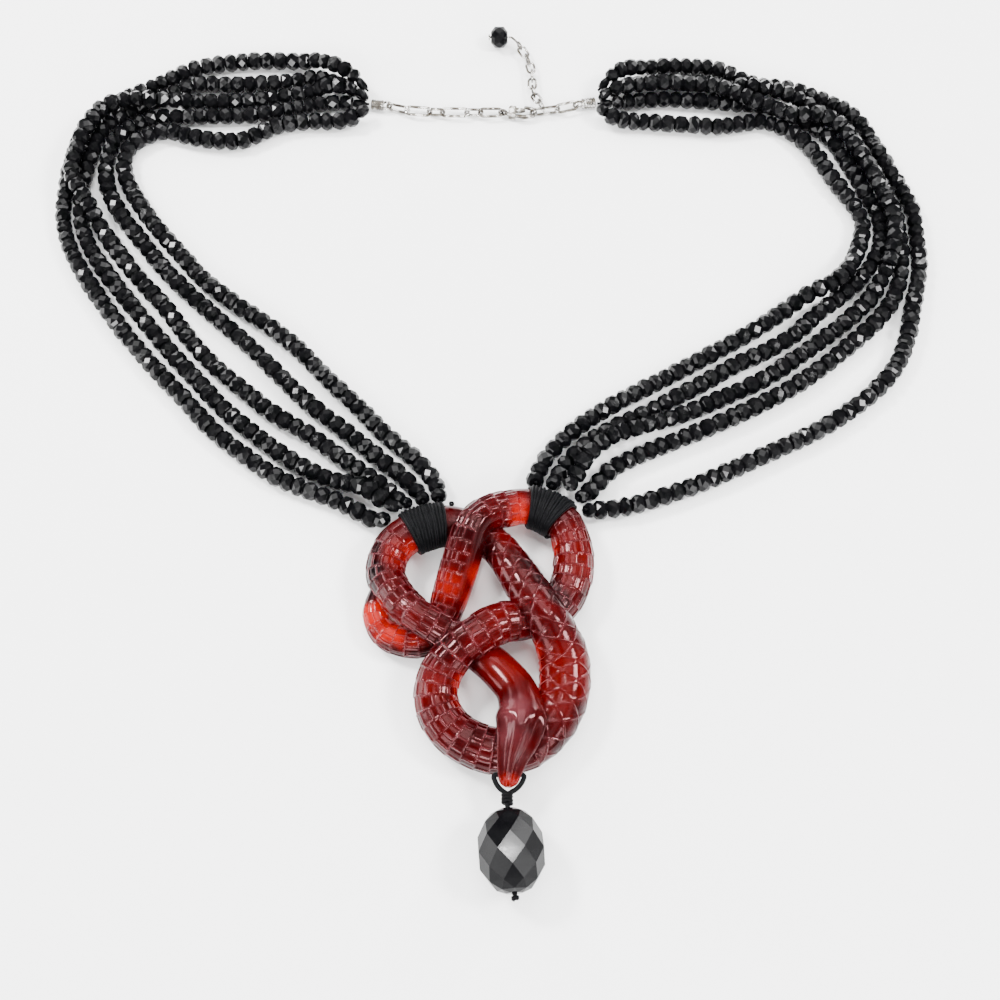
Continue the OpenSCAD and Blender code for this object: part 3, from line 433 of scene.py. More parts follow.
ROUTES = {
    "strand_left_1": [
        [-11.3, -23.8, 4.4], [-11.2, -21.2, 3.2], [-13.1, -16.8, 2.2], [-18, -11.4, 2.1],
        [-24.6, -5.6, 2.1], [-31, 1.4, 2.1], [-38, 8.2, 2.1], [-45.6, 16.4, 2.1],
        [-53.6, 23.2, 2.1], [-62, 29.2, 2.1], [-69.8, 35.6, 2.1], [-77, 43.8, 2.1],
        [-83.6, 51.6, 2.1], [-89, 59.4, 2.1], [-92.6, 66.4, 2.1], [-93.2, 71.5, 2.1],
        [-92.5, 75, 2.1], [-90.4, 77.3, 2.1], [-87.4, 79.1, 2.1], [-83, 80.2, 2.1],
        [-77.5, 78.6, 2.1], [-71, 77.3, 2.1], [-64, 77.2, 2.1], [-59.6, 79.2, 2.1],
        [-55.5, 81.6, 2.1], [-50.5, 82.8, 2.1], [-45, 83.3, 2.1], [-40.5, 83.2, 2.2],
        [-36.2, 83.7, 2.9], [-33.2, 85, 3.8], [-31.4, 87.4, 3.6]
    ],
    "strand_left_2": [
        [-14.6, -24.2, 4.5], [-15.6, -21.4, 2.1], [-20, -16.6, 2.1], [-26.3, -11.4, 2.1],
        [-34, -4.8, 2.1], [-42.4, 2, 2.1], [-50, 9.6, 2.1], [-57.4, 17.2, 2.1],
        [-65.3, 24.4, 2.1], [-73, 31.6, 2.1], [-80, 38.8, 2.1], [-86.6, 47, 2.1],
        [-92.6, 55, 2.1], [-96.4, 62, 2.1], [-97.8, 69, 2.1], [-97.4, 73.4, 2.1],
        [-96.8, 76.6, 2.1], [-94.8, 79.6, 2.1], [-91, 82.6, 2.1], [-85.5, 84.7, 2.1],
        [-79, 84.8, 2.1], [-72, 85, 2.1], [-66, 85.1, 2.1], [-60, 85.4, 2.1],
        [-55, 86.8, 2.1], [-50, 87.7, 2.1], [-45, 88.7, 2.1], [-40.5, 89.3, 2.1],
        [-37, 89.3, 2.1], [-31.2, 89, 1.7]
    ],
    "strand_left_3": [
        [-17.4, -25, 5], [-21.1, -22, 2.1], [-26.7, -17.2, 2.1], [-34.2, -12, 2.1],
        [-42.5, -5.8, 2.1], [-51.1, -0.4, 2.1], [-59, 6.2, 2.1], [-66.6, 12.9, 2.1],
        [-73, 20.2, 2.1], [-79, 28.2, 2.1], [-86, 36, 2.1], [-92, 43.6, 2.1],
        [-96.4, 50, 2.1], [-98.6, 53.6, 4.8], [-100.8, 57.2, 6.3], [-103.3, 61.2, 6.6],
        [-105.4, 66, 6.1], [-104.5, 73, 6.1], [-103, 79, 6.1], [-99.8, 84.3, 6.2],
        [-95.4, 86.6, 6.6], [-90.4, 87.3, 6.4], [-87.6, 87.4, 6.3], [-85, 87.7, 5.6],
        [-80, 89.1, 3.4], [-75, 89.5, 2.1], [-66, 89.7, 2.1], [-60, 90.2, 2.1],
        [-55, 91.3, 2.1], [-50, 92.1, 2.1], [-45.4, 93, 2.4], [-43, 92.8, 4.4],
        [-40.5, 92.4, 5.3], [-37, 91.7, 6], [-31.2, 89.7, 4]
    ],
    "strand_left_4": [
        [-19.4, -25.8, 4.9], [-22.7, -24.8, 5.4], [-27.1, -21.3, 5.2], [-32, -18.9, 3.2],
        [-37.3, -17.2, 2.1], [-46, -12.6, 2.1], [-54.6, -6.2, 2.1], [-62.6, 0.6, 2.1], [-70, 8.6, 2.1],
        [-77, 16.2, 2.1], [-83.4, 24, 2.1], [-89.6, 31.6, 2.1], [-95.4, 39.2, 2.1],
        [-99.9, 46.4, 2.1], [-102.4, 53, 2.1], [-103, 59.4, 2.1], [-103, 66, 2.1],
        [-102.1, 72.6, 2.1], [-101, 78.2, 2.1], [-98.4, 82.6, 2.1], [-94, 86, 2.1],
        [-88.4, 89.3, 2.1], [-82.4, 92.6, 2.1], [-76, 95.1, 2.1], [-69, 94.9, 2.1],
        [-62, 95.1, 2.1], [-55, 95.8, 2.1], [-50, 96.6, 2.1], [-45, 97.5, 2.1],
        [-40.5, 95.9, 2.1], [-37, 94.1, 2.1], [-31.2, 90.6, 1.7]
    ],
    "strand_left_5": [
        [-22.3, -28.1, 5.2], [-25.6, -28, 2.6], [-29.4, -25.8, 2.1], [-35, -22.9, 2.1],
        [-42, -20.2, 2.1], [-49, -17, 2.1], [-57, -11.4, 2.1], [-65.2, -4.6, 2.1], [-73, 4, 2.1],
        [-80.2, 11.6, 2.1], [-87.4, 20, 2.1], [-93.8, 28.4, 2.1], [-99.6, 36.8, 2.1],
        [-104.4, 45.4, 2.1], [-106.8, 52.6, 2.1], [-107.4, 59.4, 2.1], [-107.4, 66.6, 2.1],
        [-106.5, 73.4, 2.1], [-105.2, 79.8, 2.1], [-101.8, 85.6, 2.1], [-96.5, 89.8, 2.1],
        [-90.5, 93.2, 2.1], [-84, 96.8, 2.1], [-77, 100.2, 2.1], [-70, 101.7, 2.1],
        [-62, 102.6, 2.1], [-54.5, 102.6, 2.1], [-49, 102.3, 2.6], [-45, 101.4, 4.2],
        [-41.5, 99.6, 5.5], [-38.6, 97.8, 5.9], [-36, 96, 5.9], [-31.4, 91.9, 3.6]
    ],
    "strand_right_1": [
        [11.3, -19.3, 4.4], [11.4, -16.8, 2.1], [14.6, -11, 2.1], [20.4, -5, 2.1],
        [28.6, 0.9, 2.1], [37.6, 6, 2.1], [46.6, 11, 2.1], [55.6, 16.2, 2.1],
        [64.6, 21.6, 2.1], [70.4, 25.6, 2.1], [75.2, 28.9, 3.4], [79.4, 31.1, 5.1],
        [83.6, 32.7, 6], [87, 35.5, 6], [89.7, 39.3, 5], [91.8, 43.8, 2.9],
        [93.5, 48.4, 2.1], [94.1, 52.6, 2.1], [92.6, 57.2, 2.1],
        [90.2, 61.4, 2.1], [87, 67, 2.1], [84.4, 72.4, 2.1], [80.8, 77.6, 2.1],
        [76.7, 81, 2.1], [71.4, 83.2, 2.1], [65.3, 82.4, 2.1], [59, 81.6, 2.1],
        [52.6, 82.2, 2.1], [46, 82.6, 2.1], [41, 83.1, 2.1], [36.6, 83.3, 2.4],
        [32.8, 83.8, 3.2], [30.2, 85, 3.9], [28.6, 87.6, 3.6]
    ],
    "strand_right_2": [
        [14.8, -20.4, 4.8], [16.4, -17, 2.1], [18.6, -13.4, 2.1], [23.6, -8.4, 2.1],
        [30, -4.2, 2.1], [36.6, -0.8, 2.1], [44, 3.2, 2.1], [52, 7.6, 2.1], [60, 12.4, 2.1],
        [68, 16.4, 2.1], [75, 21, 2.1], [80.6, 26.4, 2.1], [86.4, 31, 2.1],
        [91.4, 35.6, 2.1], [95.4, 40.6, 2.1], [98, 45.8, 2.1], [98.6, 51.8, 2.1],
        [97.8, 56.6, 2.1], [96, 60.6, 2.1], [93.2, 67.6, 2.1], [90.9, 72.7, 2.1],
        [89, 76.8, 2.1], [86.7, 79.5, 2.1], [83, 82.6, 2.1], [78.5, 85.6, 2.1],
        [73.5, 88, 2.1], [68, 88.8, 2.1], [63, 89, 2.1], [57.5, 89.6, 2.1],
        [52, 90, 2.1], [46, 90.4, 2.1], [41, 90, 2.1], [37.8, 89.7, 2.1],
        [34.2, 89.4, 2.1], [28.4, 89.2, 1.7]
    ],
    "strand_right_3": [
        [18.4, -21.4, 5], [20.6, -17.4, 4.7], [23.6, -12.6, 5.6], [28.4, -8.4, 5.8],
        [32.5, -6.5, 5.4], [37, -4.8, 4.7], [43.6, -2, 2.9], [50.2, 0.8, 2.1],
        [58.4, 4.6, 2.1], [66.4, 8.6, 2.1],
        [74, 13.8, 2.1], [81, 19, 2.1], [87.8, 24.6, 2.1], [93.6, 30.4, 2.1],
        [97.2, 36.1, 3.4], [99.1, 40.4, 5.5], [100.3, 44.4, 5.9], [101, 48.6, 6], [100.7, 54, 6],
        [99.4, 59, 6], [97.4, 64.4, 6], [95, 70.4, 6], [93, 74.2, 6],
        [91.2, 78, 6], [88.7, 81, 6], [83.9, 82.5, 6.6], [78.5, 82.6, 6.2],
        [73.5, 85.2, 5.7], [68, 87.2, 6.4], [63, 89.8, 6.5], [57.5, 92.3, 5.8],
        [52, 92.8, 5.6], [46, 93.3, 5.5], [41, 92.8, 5.6], [37.8, 92.3, 5.7],
        [34.2, 91.8, 5.8], [28.4, 90, 4]
    ],
    "strand_right_4": [
        [20.6, -23.6, 5], [24.3, -20.2, 2.4], [28.8, -15.2, 2.1], [32.8, -12.8, 2.1],
        [38.4, -10.2, 2.1], [47, -6.6, 2.1], [56, -2.6, 2.1], [64.6, 1.6, 2.1], [72.8, 6.2, 2.1],
        [80.4, 11.6, 2.1], [87.6, 17.6, 2.1], [94, 23.4, 2.1], [98.6, 29, 2.1],
        [101.6, 35.6, 2.1], [103, 43, 2.1], [103, 51, 2.1], [102.6, 56.2, 2.1],
        [100.5, 62, 2.1], [97.4, 69.6, 2.1], [95.1, 74.8, 2.1], [93.2, 79.3, 2.1],
        [90.6, 82.7, 2.1], [86.3, 86, 2.5], [80, 88.9, 4.6], [73.5, 91.2, 5.5],
        [68, 92.4, 5.1], [65.5, 93.1, 4.3], [62.5, 93.8, 2.5], [57, 95.3, 2.1],
        [51, 95.8, 2.1], [46, 96.2, 2.1], [41, 95.6, 2.1], [37.8, 95, 2.1],
        [34.2, 94.1, 2.1], [28.4, 90.7, 1.7]
    ],
    "strand_right_5": [
        [22.4, -26, 4.8], [25.2, -25.4, 2.1], [32.3, -24.4, 2.1], [41, -21.8, 2.1],
        [50, -18.4, 2.1], [59.2, -14.2, 2.1], [68.4, -9.8, 2.1], [77.4, -5.4, 2.1],
        [85.6, -0.2, 2.1], [93, 5.8, 2.1], [98.6, 12.5, 2.1], [102, 20.4, 2.1],
        [104, 28, 2.1], [106.2, 35.6, 2.1], [107.4, 43, 2.1], [107.4, 51, 2.1],
        [107.1, 56.5, 2.1], [105, 62.6, 2.1], [102.9, 67.8, 2.1], [101.3, 72, 2.1],
        [99.2, 76.6, 2.1], [97.2, 81.5, 2.1], [94, 85.9, 2.1], [89, 89.5, 2.1],
        [83, 92.2, 2.1], [77, 94, 2.1], [71.5, 94.8, 2.1], [66, 97.1, 2.1],
        [60, 100, 2.1], [53, 100.8, 2.1], [46, 101, 2.1], [41, 100, 3],
        [37.8, 98.9, 4.6], [33.2, 96.1, 5.9], [28.6, 92.1, 3.6]
    ],
}
CORD_ROUTE = [
    [4.3, -90.9, 6.6], [2.9, -89.8, 6.5], [2, -88.4, 6.4], [1.9, -87, 6.4],
    [4.9, -87, 6.4], [7.9, -87, 6.4], [7.7, -88.4, 6.4], [6.6, -89.8, 6.5],
    [4.9, -90.9, 6.6]
]


# Strings of beads

def add_bead(shape, centre, axis, up, radius, half, sides, turn):
    """Faceted drum with a drilled hole: a belt of lozenges between two rows of triangles."""
    axis = unit(axis)
    up = unit(up - axis * np.dot(up, axis))
    side = np.cross(up, axis)
    cut = math.cos(math.pi / sides)
    # place along the hole, radius as a part of the bead's, turn in facets
    rings = [(-half, 0.22, 0), (-half, 0.66, 0), (-0.60 * half, cut, 0), (0, 1, 0.5),
             (0.60 * half, cut, 0), (half, 0.66, 0), (half, 0.22, 0)]
    points = []
    for t, r, shift in rings:
        for j in range(sides):
            a = TAU * (j + shift) / sides + turn
            points.append(centre + axis * t + radius * r * (math.cos(a) * side + math.sin(a) * up))
    n = sides
    faces = []
    for i in (0, 1, 4, 5):
        for j in range(n):
            k = (j + 1) % n
            faces.append((i * n + j, i * n + k, (i + 1) * n + k, (i + 1) * n + j))
    for j in range(n):
        k = (j + 1) % n
        faces.append((2 * n + j, 2 * n + k, 3 * n + j))
        faces.append((4 * n + k, 4 * n + j, 3 * n + j))
        faces.append((2 * n + k, 3 * n + k, 4 * n + k, 3 * n + j))
        faces.append((6 * n + j, 6 * n + k, k, j))
    shape.add(points, faces)


FINE_ROUTES = {name: smooth_path(route, 0.4)[0] for name, route in ROUTES.items()}
SIDE = cad_box[1][0] / MM - 0.02  # how far to either side a bead may reach
BEAD_PITCH = 3.12
WIDEST, NARROWEST, END_NARROWEST = 2.45, 2.06, 1.5  # bead radii
CROWDED = 9  # the strings crowd together over this length at the sleeves and end caps
THREAD_RADIUS = 0.34


def strand(name, seed):
    """Beads of uneven thickness, each as wide as the strings beside it leave room for."""
    rng = random.Random(seed)
    path, s = smooth_path(ROUTES[name], 0.2)
    others = np.vstack([p for other, p in FINE_ROUTES.items() if other != name])
    way = np.gradient(path, axis=0)
    start, stop = 0.5, s[-1] - 0.7
    count = int(round((stop - start) / BEAD_PITCH))
    weights = np.array([rng.uniform(0.86, 1.14) for _ in range(count)])
    cuts = start + (stop - start) * np.concatenate([[0], np.cumsum(weights)]) / weights.sum()
    beads, line = Shape(), path.copy()
    # each bead from one cut of the route to the next
    for low, high in zip(cuts[:-1], cuts[1:]):
        q = (low + high) / 2
        centre = np.array([np.interp(q, s, path[:, k]) for k in range(3)])
        axis = np.array([np.interp(q, s, way[:, k]) for k in range(3)])
        room = np.linalg.norm(others - centre, axis=1).min() / 2
        least = END_NARROWEST if min(q, s[-1] - q) < CROWDED else NARROWEST
        radius = min(max(room, least), WIDEST) * rng.uniform(0.94, 1.0)
        if high == cuts[-1]:
            radius *= 0.8  # the last bead, at the end cap
        centre[2] = max(centre[2], radius + 0.02)
        centre[0] = min(max(centre[0], radius - SIDE), SIDE - radius)
        axis = unit(axis) + np.array([rng.uniform(-0.11, 0.11) for _ in range(3)])
        up = np.array([rng.uniform(-1, 1), rng.uniform(-1, 1), 1.0])
        add_bead(beads, centre, axis, up, radius, (high - low) * 0.49,
                 rng.choice((7, 8, 8)), rng.uniform(0, TAU))
    make(name + "_beads", beads.points, beads.faces, BEAD, False, stands_for=(name,))
    # the thread runs through the beads' middles, which lie no lower than this
    line[:, 2] = np.maximum(line[:, 2], np.minimum(2.1, 0.4 + s))
    points, faces = tube(line[::4], THREAD_RADIUS, 6)
    make(name + "_thread", points, faces, THREAD)


FIRST_SEED = 100
for number, name in enumerate(ROUTES):
    strand(name, FIRST_SEED + number)


# Snake

ROWS = np.array(SNAKE_ROWS, float)
LAST = len(ROWS) - 1


def snake_at(u):
    """Rows of the body's table at places u, on the smooth curve of the solids."""
    u = np.clip(np.asarray(u, float), 0, LAST)
    i = np.minimum(np.floor(u).astype(int), LAST - 1)
    t = (u - i)[:, None]
    a, b = ROWS[np.maximum(i - 1, 0)], ROWS[i]
    c, d = ROWS[i + 1], ROWS[np.minimum(i + 2, LAST)]
    return 0.5 * (2 * b + (c - a) * t + (2 * a - 5 * b + 4 * c - d) * t * t
                  + (3 * b - a - 3 * c + d) * t ** 3)


def snake_frame(u):
    """Rows at places u, with the body's sideways and upward directions."""
    u = np.asarray(u, float)
    row = snake_at(u)
    d = snake_at(np.minimum(u + 0.03, LAST))[:, :3] - snake_at(np.maximum(u - 0.03, 0))[:, :3]
    d /= np.linalg.norm(d, axis=1)[:, None]
    s = np.cross(d, (0, 0, 1))
    s /= np.linalg.norm(s, axis=1)[:, None]
    return row, s, np.cross(s, d)


def around(u, a, grow):
    """Points on the body at places u and angles a, grown outwards by grow mm."""
    row, s, w = snake_frame(u)
    p = (row[:, :3] + ((row[:, 3] + grow) * np.cos(a))[:, None] * s
         + ((row[:, 4] + grow) * np.sin(a))[:, None] * w)
    p[:, 2] = np.maximum(p[:, 2], 0.0)
    return p


# place u in the table against the length s along the body
FINE_U = np.linspace(0, LAST, 3000)
FINE_P = snake_at(FINE_U)[:, :3]
FINE_S = np.concatenate([[0], np.cumsum(np.linalg.norm(np.diff(FINE_P, axis=0), axis=1))])


def step01(x, low, high):
    """Smooth step from 0 at low to 1 at high."""
    t = np.clip((x - low) / (high - low), 0, 1)
    return t * t * (3 - 2 * t)


TILE, TILES_ROUND = 2.6, 11  # brick-like scales: length, and how many round the body
LOZENGE, LOZENGES_ROUND = 4.16, 5.5
LOZENGE_FROM, LOZENGE_TO = 27, 35.5  # places in the table between which scales are lozenges
LINE_WIDTH = 0.12


def tiles(s, a, r, diamond):
    """Pressed scales: how much of a raised edge line, and how far the field between leans."""
    long_p, belt = s / TILE, a / TAU * TILES_ROUND
    row = np.floor(long_p)
    fp = long_p - row
    q = belt + 0.5 * (row % 2)
    fq = q - np.floor(q)
    edge = np.minimum(np.minimum(fp, 1 - fp) * TILE,
                      np.minimum(fq, 1 - fq) * TAU * r / TILES_ROUND)
    x, y = s / LOZENGE + a / TAU * LOZENGES_ROUND, s / LOZENGE - a / TAU * LOZENGES_ROUND
    fx, fy = x - np.floor(x), y - np.floor(y)
    across = 3.1  # from one side of a lozenge to the other
    cross = np.minimum(np.minimum(fx, 1 - fx), np.minimum(fy, 1 - fy)) * across
    line = np.exp(-(np.where(diamond, cross, edge) / LINE_WIDTH) ** 2)
    line = line * np.where(diamond, 0.65, 1)
    return line, np.where(diamond, (fx + fy) / 2, fp) - 0.5


def relief(u, s, a, row):
    """How far the skin stands out at places u (s mm along) and angles a, and its edge lines."""
    r = (row[:, 3] + row[:, 4]) / 2
    depth = row[:, 5] * step01(np.sin(a), -0.45, -0.15)
    # the upright stretch has a smooth side and a groove along its scales
    upright = step01(u, 5.2, 6.2) * (1 - step01(u, 9.0, 9.8))
    depth = depth * (1 - upright * step01(np.cos(a), 0.25, 0.5))
    groove = np.exp(-((a - 2.25) / 0.10) ** 2)
    line, lean = tiles(s, a, r, (u > LOZENGE_FROM) & (u < LOZENGE_TO))
    grow = depth * (0.26 * line - 0.26 + 0.12 * lean) - 0.45 * upright * groove
    # head: a flat-topped ridge, two troughs, brows and jaw corners
    head = step01(u, 49.3, 50.6) * (1 - step01(u, 54.2, 55.0))
    off = np.abs(a - math.pi / 2)
    grow = grow + head * (0.75 * np.exp(-(off / 0.26) ** 4)
                          - 0.50 * np.exp(-((off - 0.62) / 0.20) ** 2)
                          + 0.55 * np.exp(-((off - 1.05) / 0.17) ** 2)
                          - 0.35 * np.exp(-((off - 1.42) / 0.16) ** 2))
    # brow bone where the head begins
    brow = np.exp(-((u - 50.0) / 0.45) ** 2) * np.exp(-((off - 0.55) / 0.35) ** 2)
    return grow + 0.45 * brow, depth * line


# the points of a section and the stations lie on the lines between the scales
PER_LOZENGE = 16
STEPS_ROUND = 88  # as many as PER_LOZENGE * LOZENGES_ROUND
FINE_FROM, FINE_TO = -5, 49  # steps round the upper side, where the points lie close together
COARSE = 17  # points from FINE_TO round the underside to FINE_FROM, both counted
STEP = TAU / STEPS_ROUND
ANGLES = np.concatenate([
    np.arange(FINE_FROM, FINE_TO + 1) * STEP,
    np.linspace(FINE_TO * STEP, (STEPS_ROUND + FINE_FROM) * STEP, COARSE)[1:-1]])
TILE_STATION, LOZENGE_STATION, SMOOTH_STATION = TILE / 11, LOZENGE / PER_LOZENGE, 0.40


def snake_run(first, last):
    """Closed skin of one stretch, finest on its scaled upper side, with its edge lines and the painted
    shade of its lower sides.
    """
    n = len(ANGLES)
    s, s1 = np.interp([first, last], FINE_U, FINE_S)
    stations = [s]
    while s < s1:
        u = np.interp(s, FINE_S, FINE_U)
        step = SMOOTH_STATION
        if snake_at([u])[0, 5] > 0.05:
            step = LOZENGE_STATION if LOZENGE_FROM < u < LOZENGE_TO else TILE_STATION
        s = min(s1, (math.floor(s / step + 0.01) + 1) * step)
        stations.append(s)
    us = np.interp(stations, FINE_S, FINE_U)
    points, values = [], []
    for u, s in zip(us, stations):
        uu = np.full(n, u)
        grow, line = relief(uu, np.full(n, s), ANGLES, snake_at(uu))
        points.extend(around(uu, ANGLES, grow))
        # the second value is painted shade, darker on the body's lower sides
        values.extend(zip(line, 1 - step01(np.sin(ANGLES), -0.1, 0.5)))
    m = len(us)
    faces = []
    for i in range(m - 1):
        crossed = round(stations[i] / LOZENGE_STATION)
        for j in range(n):
            k = (j + 1) % n
            a, b, c, d = i * n + j, (i + 1) * n + j, (i + 1) * n + k, i * n + k
            # an edge of the mesh follows each lozenge's side
            along = (crossed + 1 + FINE_FROM + j) % PER_LOZENGE == 0
            faces.extend([(a, b, d), (b, c, d)] if along else [(a, b, c), (a, c, d)])
    faces.append(tuple(range(n)))
    faces.append(tuple((m - 1) * n + j for j in range(n - 1, -1, -1)))
    return points, faces, values


# paint channels: painted light through thin glass, stains with painted shade, painted sheen
LIT_THIN_GLASS, STAIN_AND_SHADE, PAINTED_SHEEN = 0, 1, 2


def paint(obj, marks, places, values):
    """Colour attribute: painted light through thin glass, stains darkened further by painted shade,
    and painted sheen on the edge lines and the head's dome.
    """
    mesh = obj.data
    at = np.empty(len(mesh.vertices) * 3)
    mesh.vertices.foreach_get("co", at)
    at = at.reshape(-1, 3) / MM
    value = np.zeros((len(at), 4))
    value[:, 3] = 1
    for channel, x, y, z, radius, power in marks:
        d = np.linalg.norm((at - (x, y, z)) * (1, 1, 0.7), axis=1)
        core = 0.60 if channel == STAIN_AND_SHADE else 0.35
        fade = power * (1 - step01(d, core * radius, 1.05 * radius))
        value[:, channel] = np.maximum(value[:, channel], fade)
    tree = KDTree(len(places))
    for i, place in enumerate(places):
        tree.insert(place, i)
    tree.balance()
    line, shaded_flank = np.array(values)[[tree.find(p)[1] for p in at]].T
    lit = np.minimum(1, 1.5 * value[:, LIT_THIN_GLASS])
    # painted shade: the lower sides darkened, less where light shines through the glass
    value[:, STAIN_AND_SHADE] = np.maximum(value[:, STAIN_AND_SHADE], 0.65 * shaded_flank * (1 - lit))
    # painted highlight on the edge lines, its strength coming and going over the body
    wave = np.sin(at[:, 0] * 0.9 + 1.3 * np.sin(at[:, 1] * 0.7)) * np.cos(at[:, 1] * 0.8)
    sheen_streak = 0.50 + 0.50 * wave
    value[:, PAINTED_SHEEN] = np.maximum(value[:, PAINTED_SHEEN], line * sheen_streak)
    layer = mesh.color_attributes.new("paint", "FLOAT_COLOR", "POINT")
    layer.data.foreach_set("color", value.ravel())


def bake(obj):
    """Makes the object's modifiers part of its mesh."""
    graph = bpy.context.evaluated_depsgraph_get()
    mesh = bpy.data.meshes.new_from_object(obj.evaluated_get(graph))
    obj.modifiers.clear()
    obj.data = mesh


# three stretches that don't meet themselves, each overlapping the next, and the snout's hole
places, values, runs = [], [], []
for first, last in ((0, 17.4), (17, 29.4), (29, LAST)):
    points, faces, run_lines_and_shade = snake_run(first, last)
    places.extend(points)
    values.extend(run_lines_and_shade)
    mesh = bpy.data.meshes.new("run")
    mesh.from_pydata((np.array(points) * MM).tolist(), [], faces)
    runs.append(bpy.data.objects.new("run", mesh))
mesh = bpy.data.meshes.new("drill")
points, faces = tube([(-1, -87, 6.4), (4.9, -87, 6.4), (11, -87, 6.4)], 0.8, 24)
mesh.from_pydata((np.array(points) * MM).tolist(), [], faces)
runs.append(bpy.data.objects.new("drill", mesh))
for obj in runs:
    bpy.context.scene.collection.objects.link(obj)
snake = make("snake_glass", [(0, 0, 0)], [], GLASS, True, stands_for=("snake",))
snake.data = runs[0].data
snake.data.materials.append(GLASS)
for obj, operation in zip(runs[1:], ("UNION", "UNION", "DIFFERENCE")):
    join = snake.modifiers.new(obj.name, "BOOLEAN")
    join.operation = operation
    join.solver = "MANIFOLD"
    join.object = obj
bake(snake)
for obj in runs:
    bpy.data.objects.remove(obj)
snake.data.polygons.foreach_set("use_smooth", [True] * len(snake.data.polygons))
snake.data.set_sharp_from_angle(angle=math.radians(55))
# kind of mark, its middle (x, y, z), its radius and its strength
MARKS = [
    # painted light, brighter red where light shines through thin glass
    (LIT_THIN_GLASS, 7.5, -27.5, 5, 5.0, 1.0), (LIT_THIN_GLASS, 13, -29, 3, 4, 0.6),
    (LIT_THIN_GLASS, -17, -36.5, 4, 4.5, 0.85), (LIT_THIN_GLASS, -20, -38, 5, 5.5, 0.35),
    (LIT_THIN_GLASS, -25, -51, 4, 5, 0.9), (LIT_THIN_GLASS, -21, -56, 4, 5, 0.9),
    (LIT_THIN_GLASS, -15, -57.5, 3, 4, 0.6), (LIT_THIN_GLASS, -3, -42, 4, 4.5, 1.0),
    (LIT_THIN_GLASS, -5.5, -47, 3, 4, 0.9), (LIT_THIN_GLASS, -8.5, -45, 5, 5.5, 0.5),
    (LIT_THIN_GLASS, -1.5, -37, 3, 3, 0.5), (LIT_THIN_GLASS, 12, -59.5, 5, 4, 0.9),
    (LIT_THIN_GLASS, 12, -63, 4, 3, 0.6), (LIT_THIN_GLASS, -5.5, -67, 4, 4.5, 0.9),
    (LIT_THIN_GLASS, -6.5, -71, 4, 4, 0.5), (LIT_THIN_GLASS, 15.2, -36, 4, 3.5, 0.8),
    (LIT_THIN_GLASS, 5, -88.5, 6, 3, 0.6),
    # middling painted light through the glass
    (LIT_THIN_GLASS, 20, -38, 6, 10, 0.15), (LIT_THIN_GLASS, 16, -66, 6, 11, 0.14),
    (LIT_THIN_GLASS, 5, -63, 6, 8, 0.20), (LIT_THIN_GLASS, -11, -68, 6, 7, 0.10), (LIT_THIN_GLASS, 2, -53, 6, 7, 0.10),
    (LIT_THIN_GLASS, -16, -53, 6, 5, 0.14), (LIT_THIN_GLASS, 4, -34, 7, 5, 0.06),
    # dark stains in the glass, and painted shade where the body crosses itself
    (STAIN_AND_SHADE, -26, -42, 5, 5, 1.0), (STAIN_AND_SHADE, -26.5, -46, 6, 3.5, 0.95),
    (STAIN_AND_SHADE, -25.5, -37, 5, 4.5, 0.8), (STAIN_AND_SHADE, -22, -60.5, 2, 5, 0.9),
    (STAIN_AND_SHADE, -14, -61, 2, 5, 0.9), (STAIN_AND_SHADE, -8.5, -59, 6, 3.8, 0.85),
    (STAIN_AND_SHADE, -9, -57, 6, 3, 0.55), (STAIN_AND_SHADE, -3, -33, 7, 6, 0.55), (STAIN_AND_SHADE, 1, -36.5, 6, 3.5, 0.6),
    (STAIN_AND_SHADE, 9, -42, 7, 4, 0.65), (STAIN_AND_SHADE, 12.5, -45, 8, 4.5, 0.8),
    (STAIN_AND_SHADE, 15, -49, 8, 4.5, 0.75), (STAIN_AND_SHADE, 9, -52, 6, 4.2, 0.95),
    (STAIN_AND_SHADE, 6, -56, 5, 3.2, 0.85), (STAIN_AND_SHADE, 13, -53, 8, 3.5, 0.6),
    (STAIN_AND_SHADE, 22.5, -48, 4, 3.5, 0.6), (STAIN_AND_SHADE, 21, -74, 4, 5, 0.7), (STAIN_AND_SHADE, 17, -82, 3, 5, 0.6),
    (STAIN_AND_SHADE, -15, -76, 2, 5, 0.5), (STAIN_AND_SHADE, -6, -86, 2, 5, 0.6), (STAIN_AND_SHADE, -3, -62, 5, 3, 0.5),
    (STAIN_AND_SHADE, 11, -70, 5, 2.5, 0.4),
    # painted sheen on the head's dome
    (PAINTED_SHEEN, 6.5, -74.5, 9, 4.8, 0.75), (PAINTED_SHEEN, 6, -79, 8, 4.5, 0.55),
    (PAINTED_SHEEN, 5.5, -83.5, 7, 3.5, 0.30)
]
paint(snake, MARKS, places, values)


# Wound thread sleeves

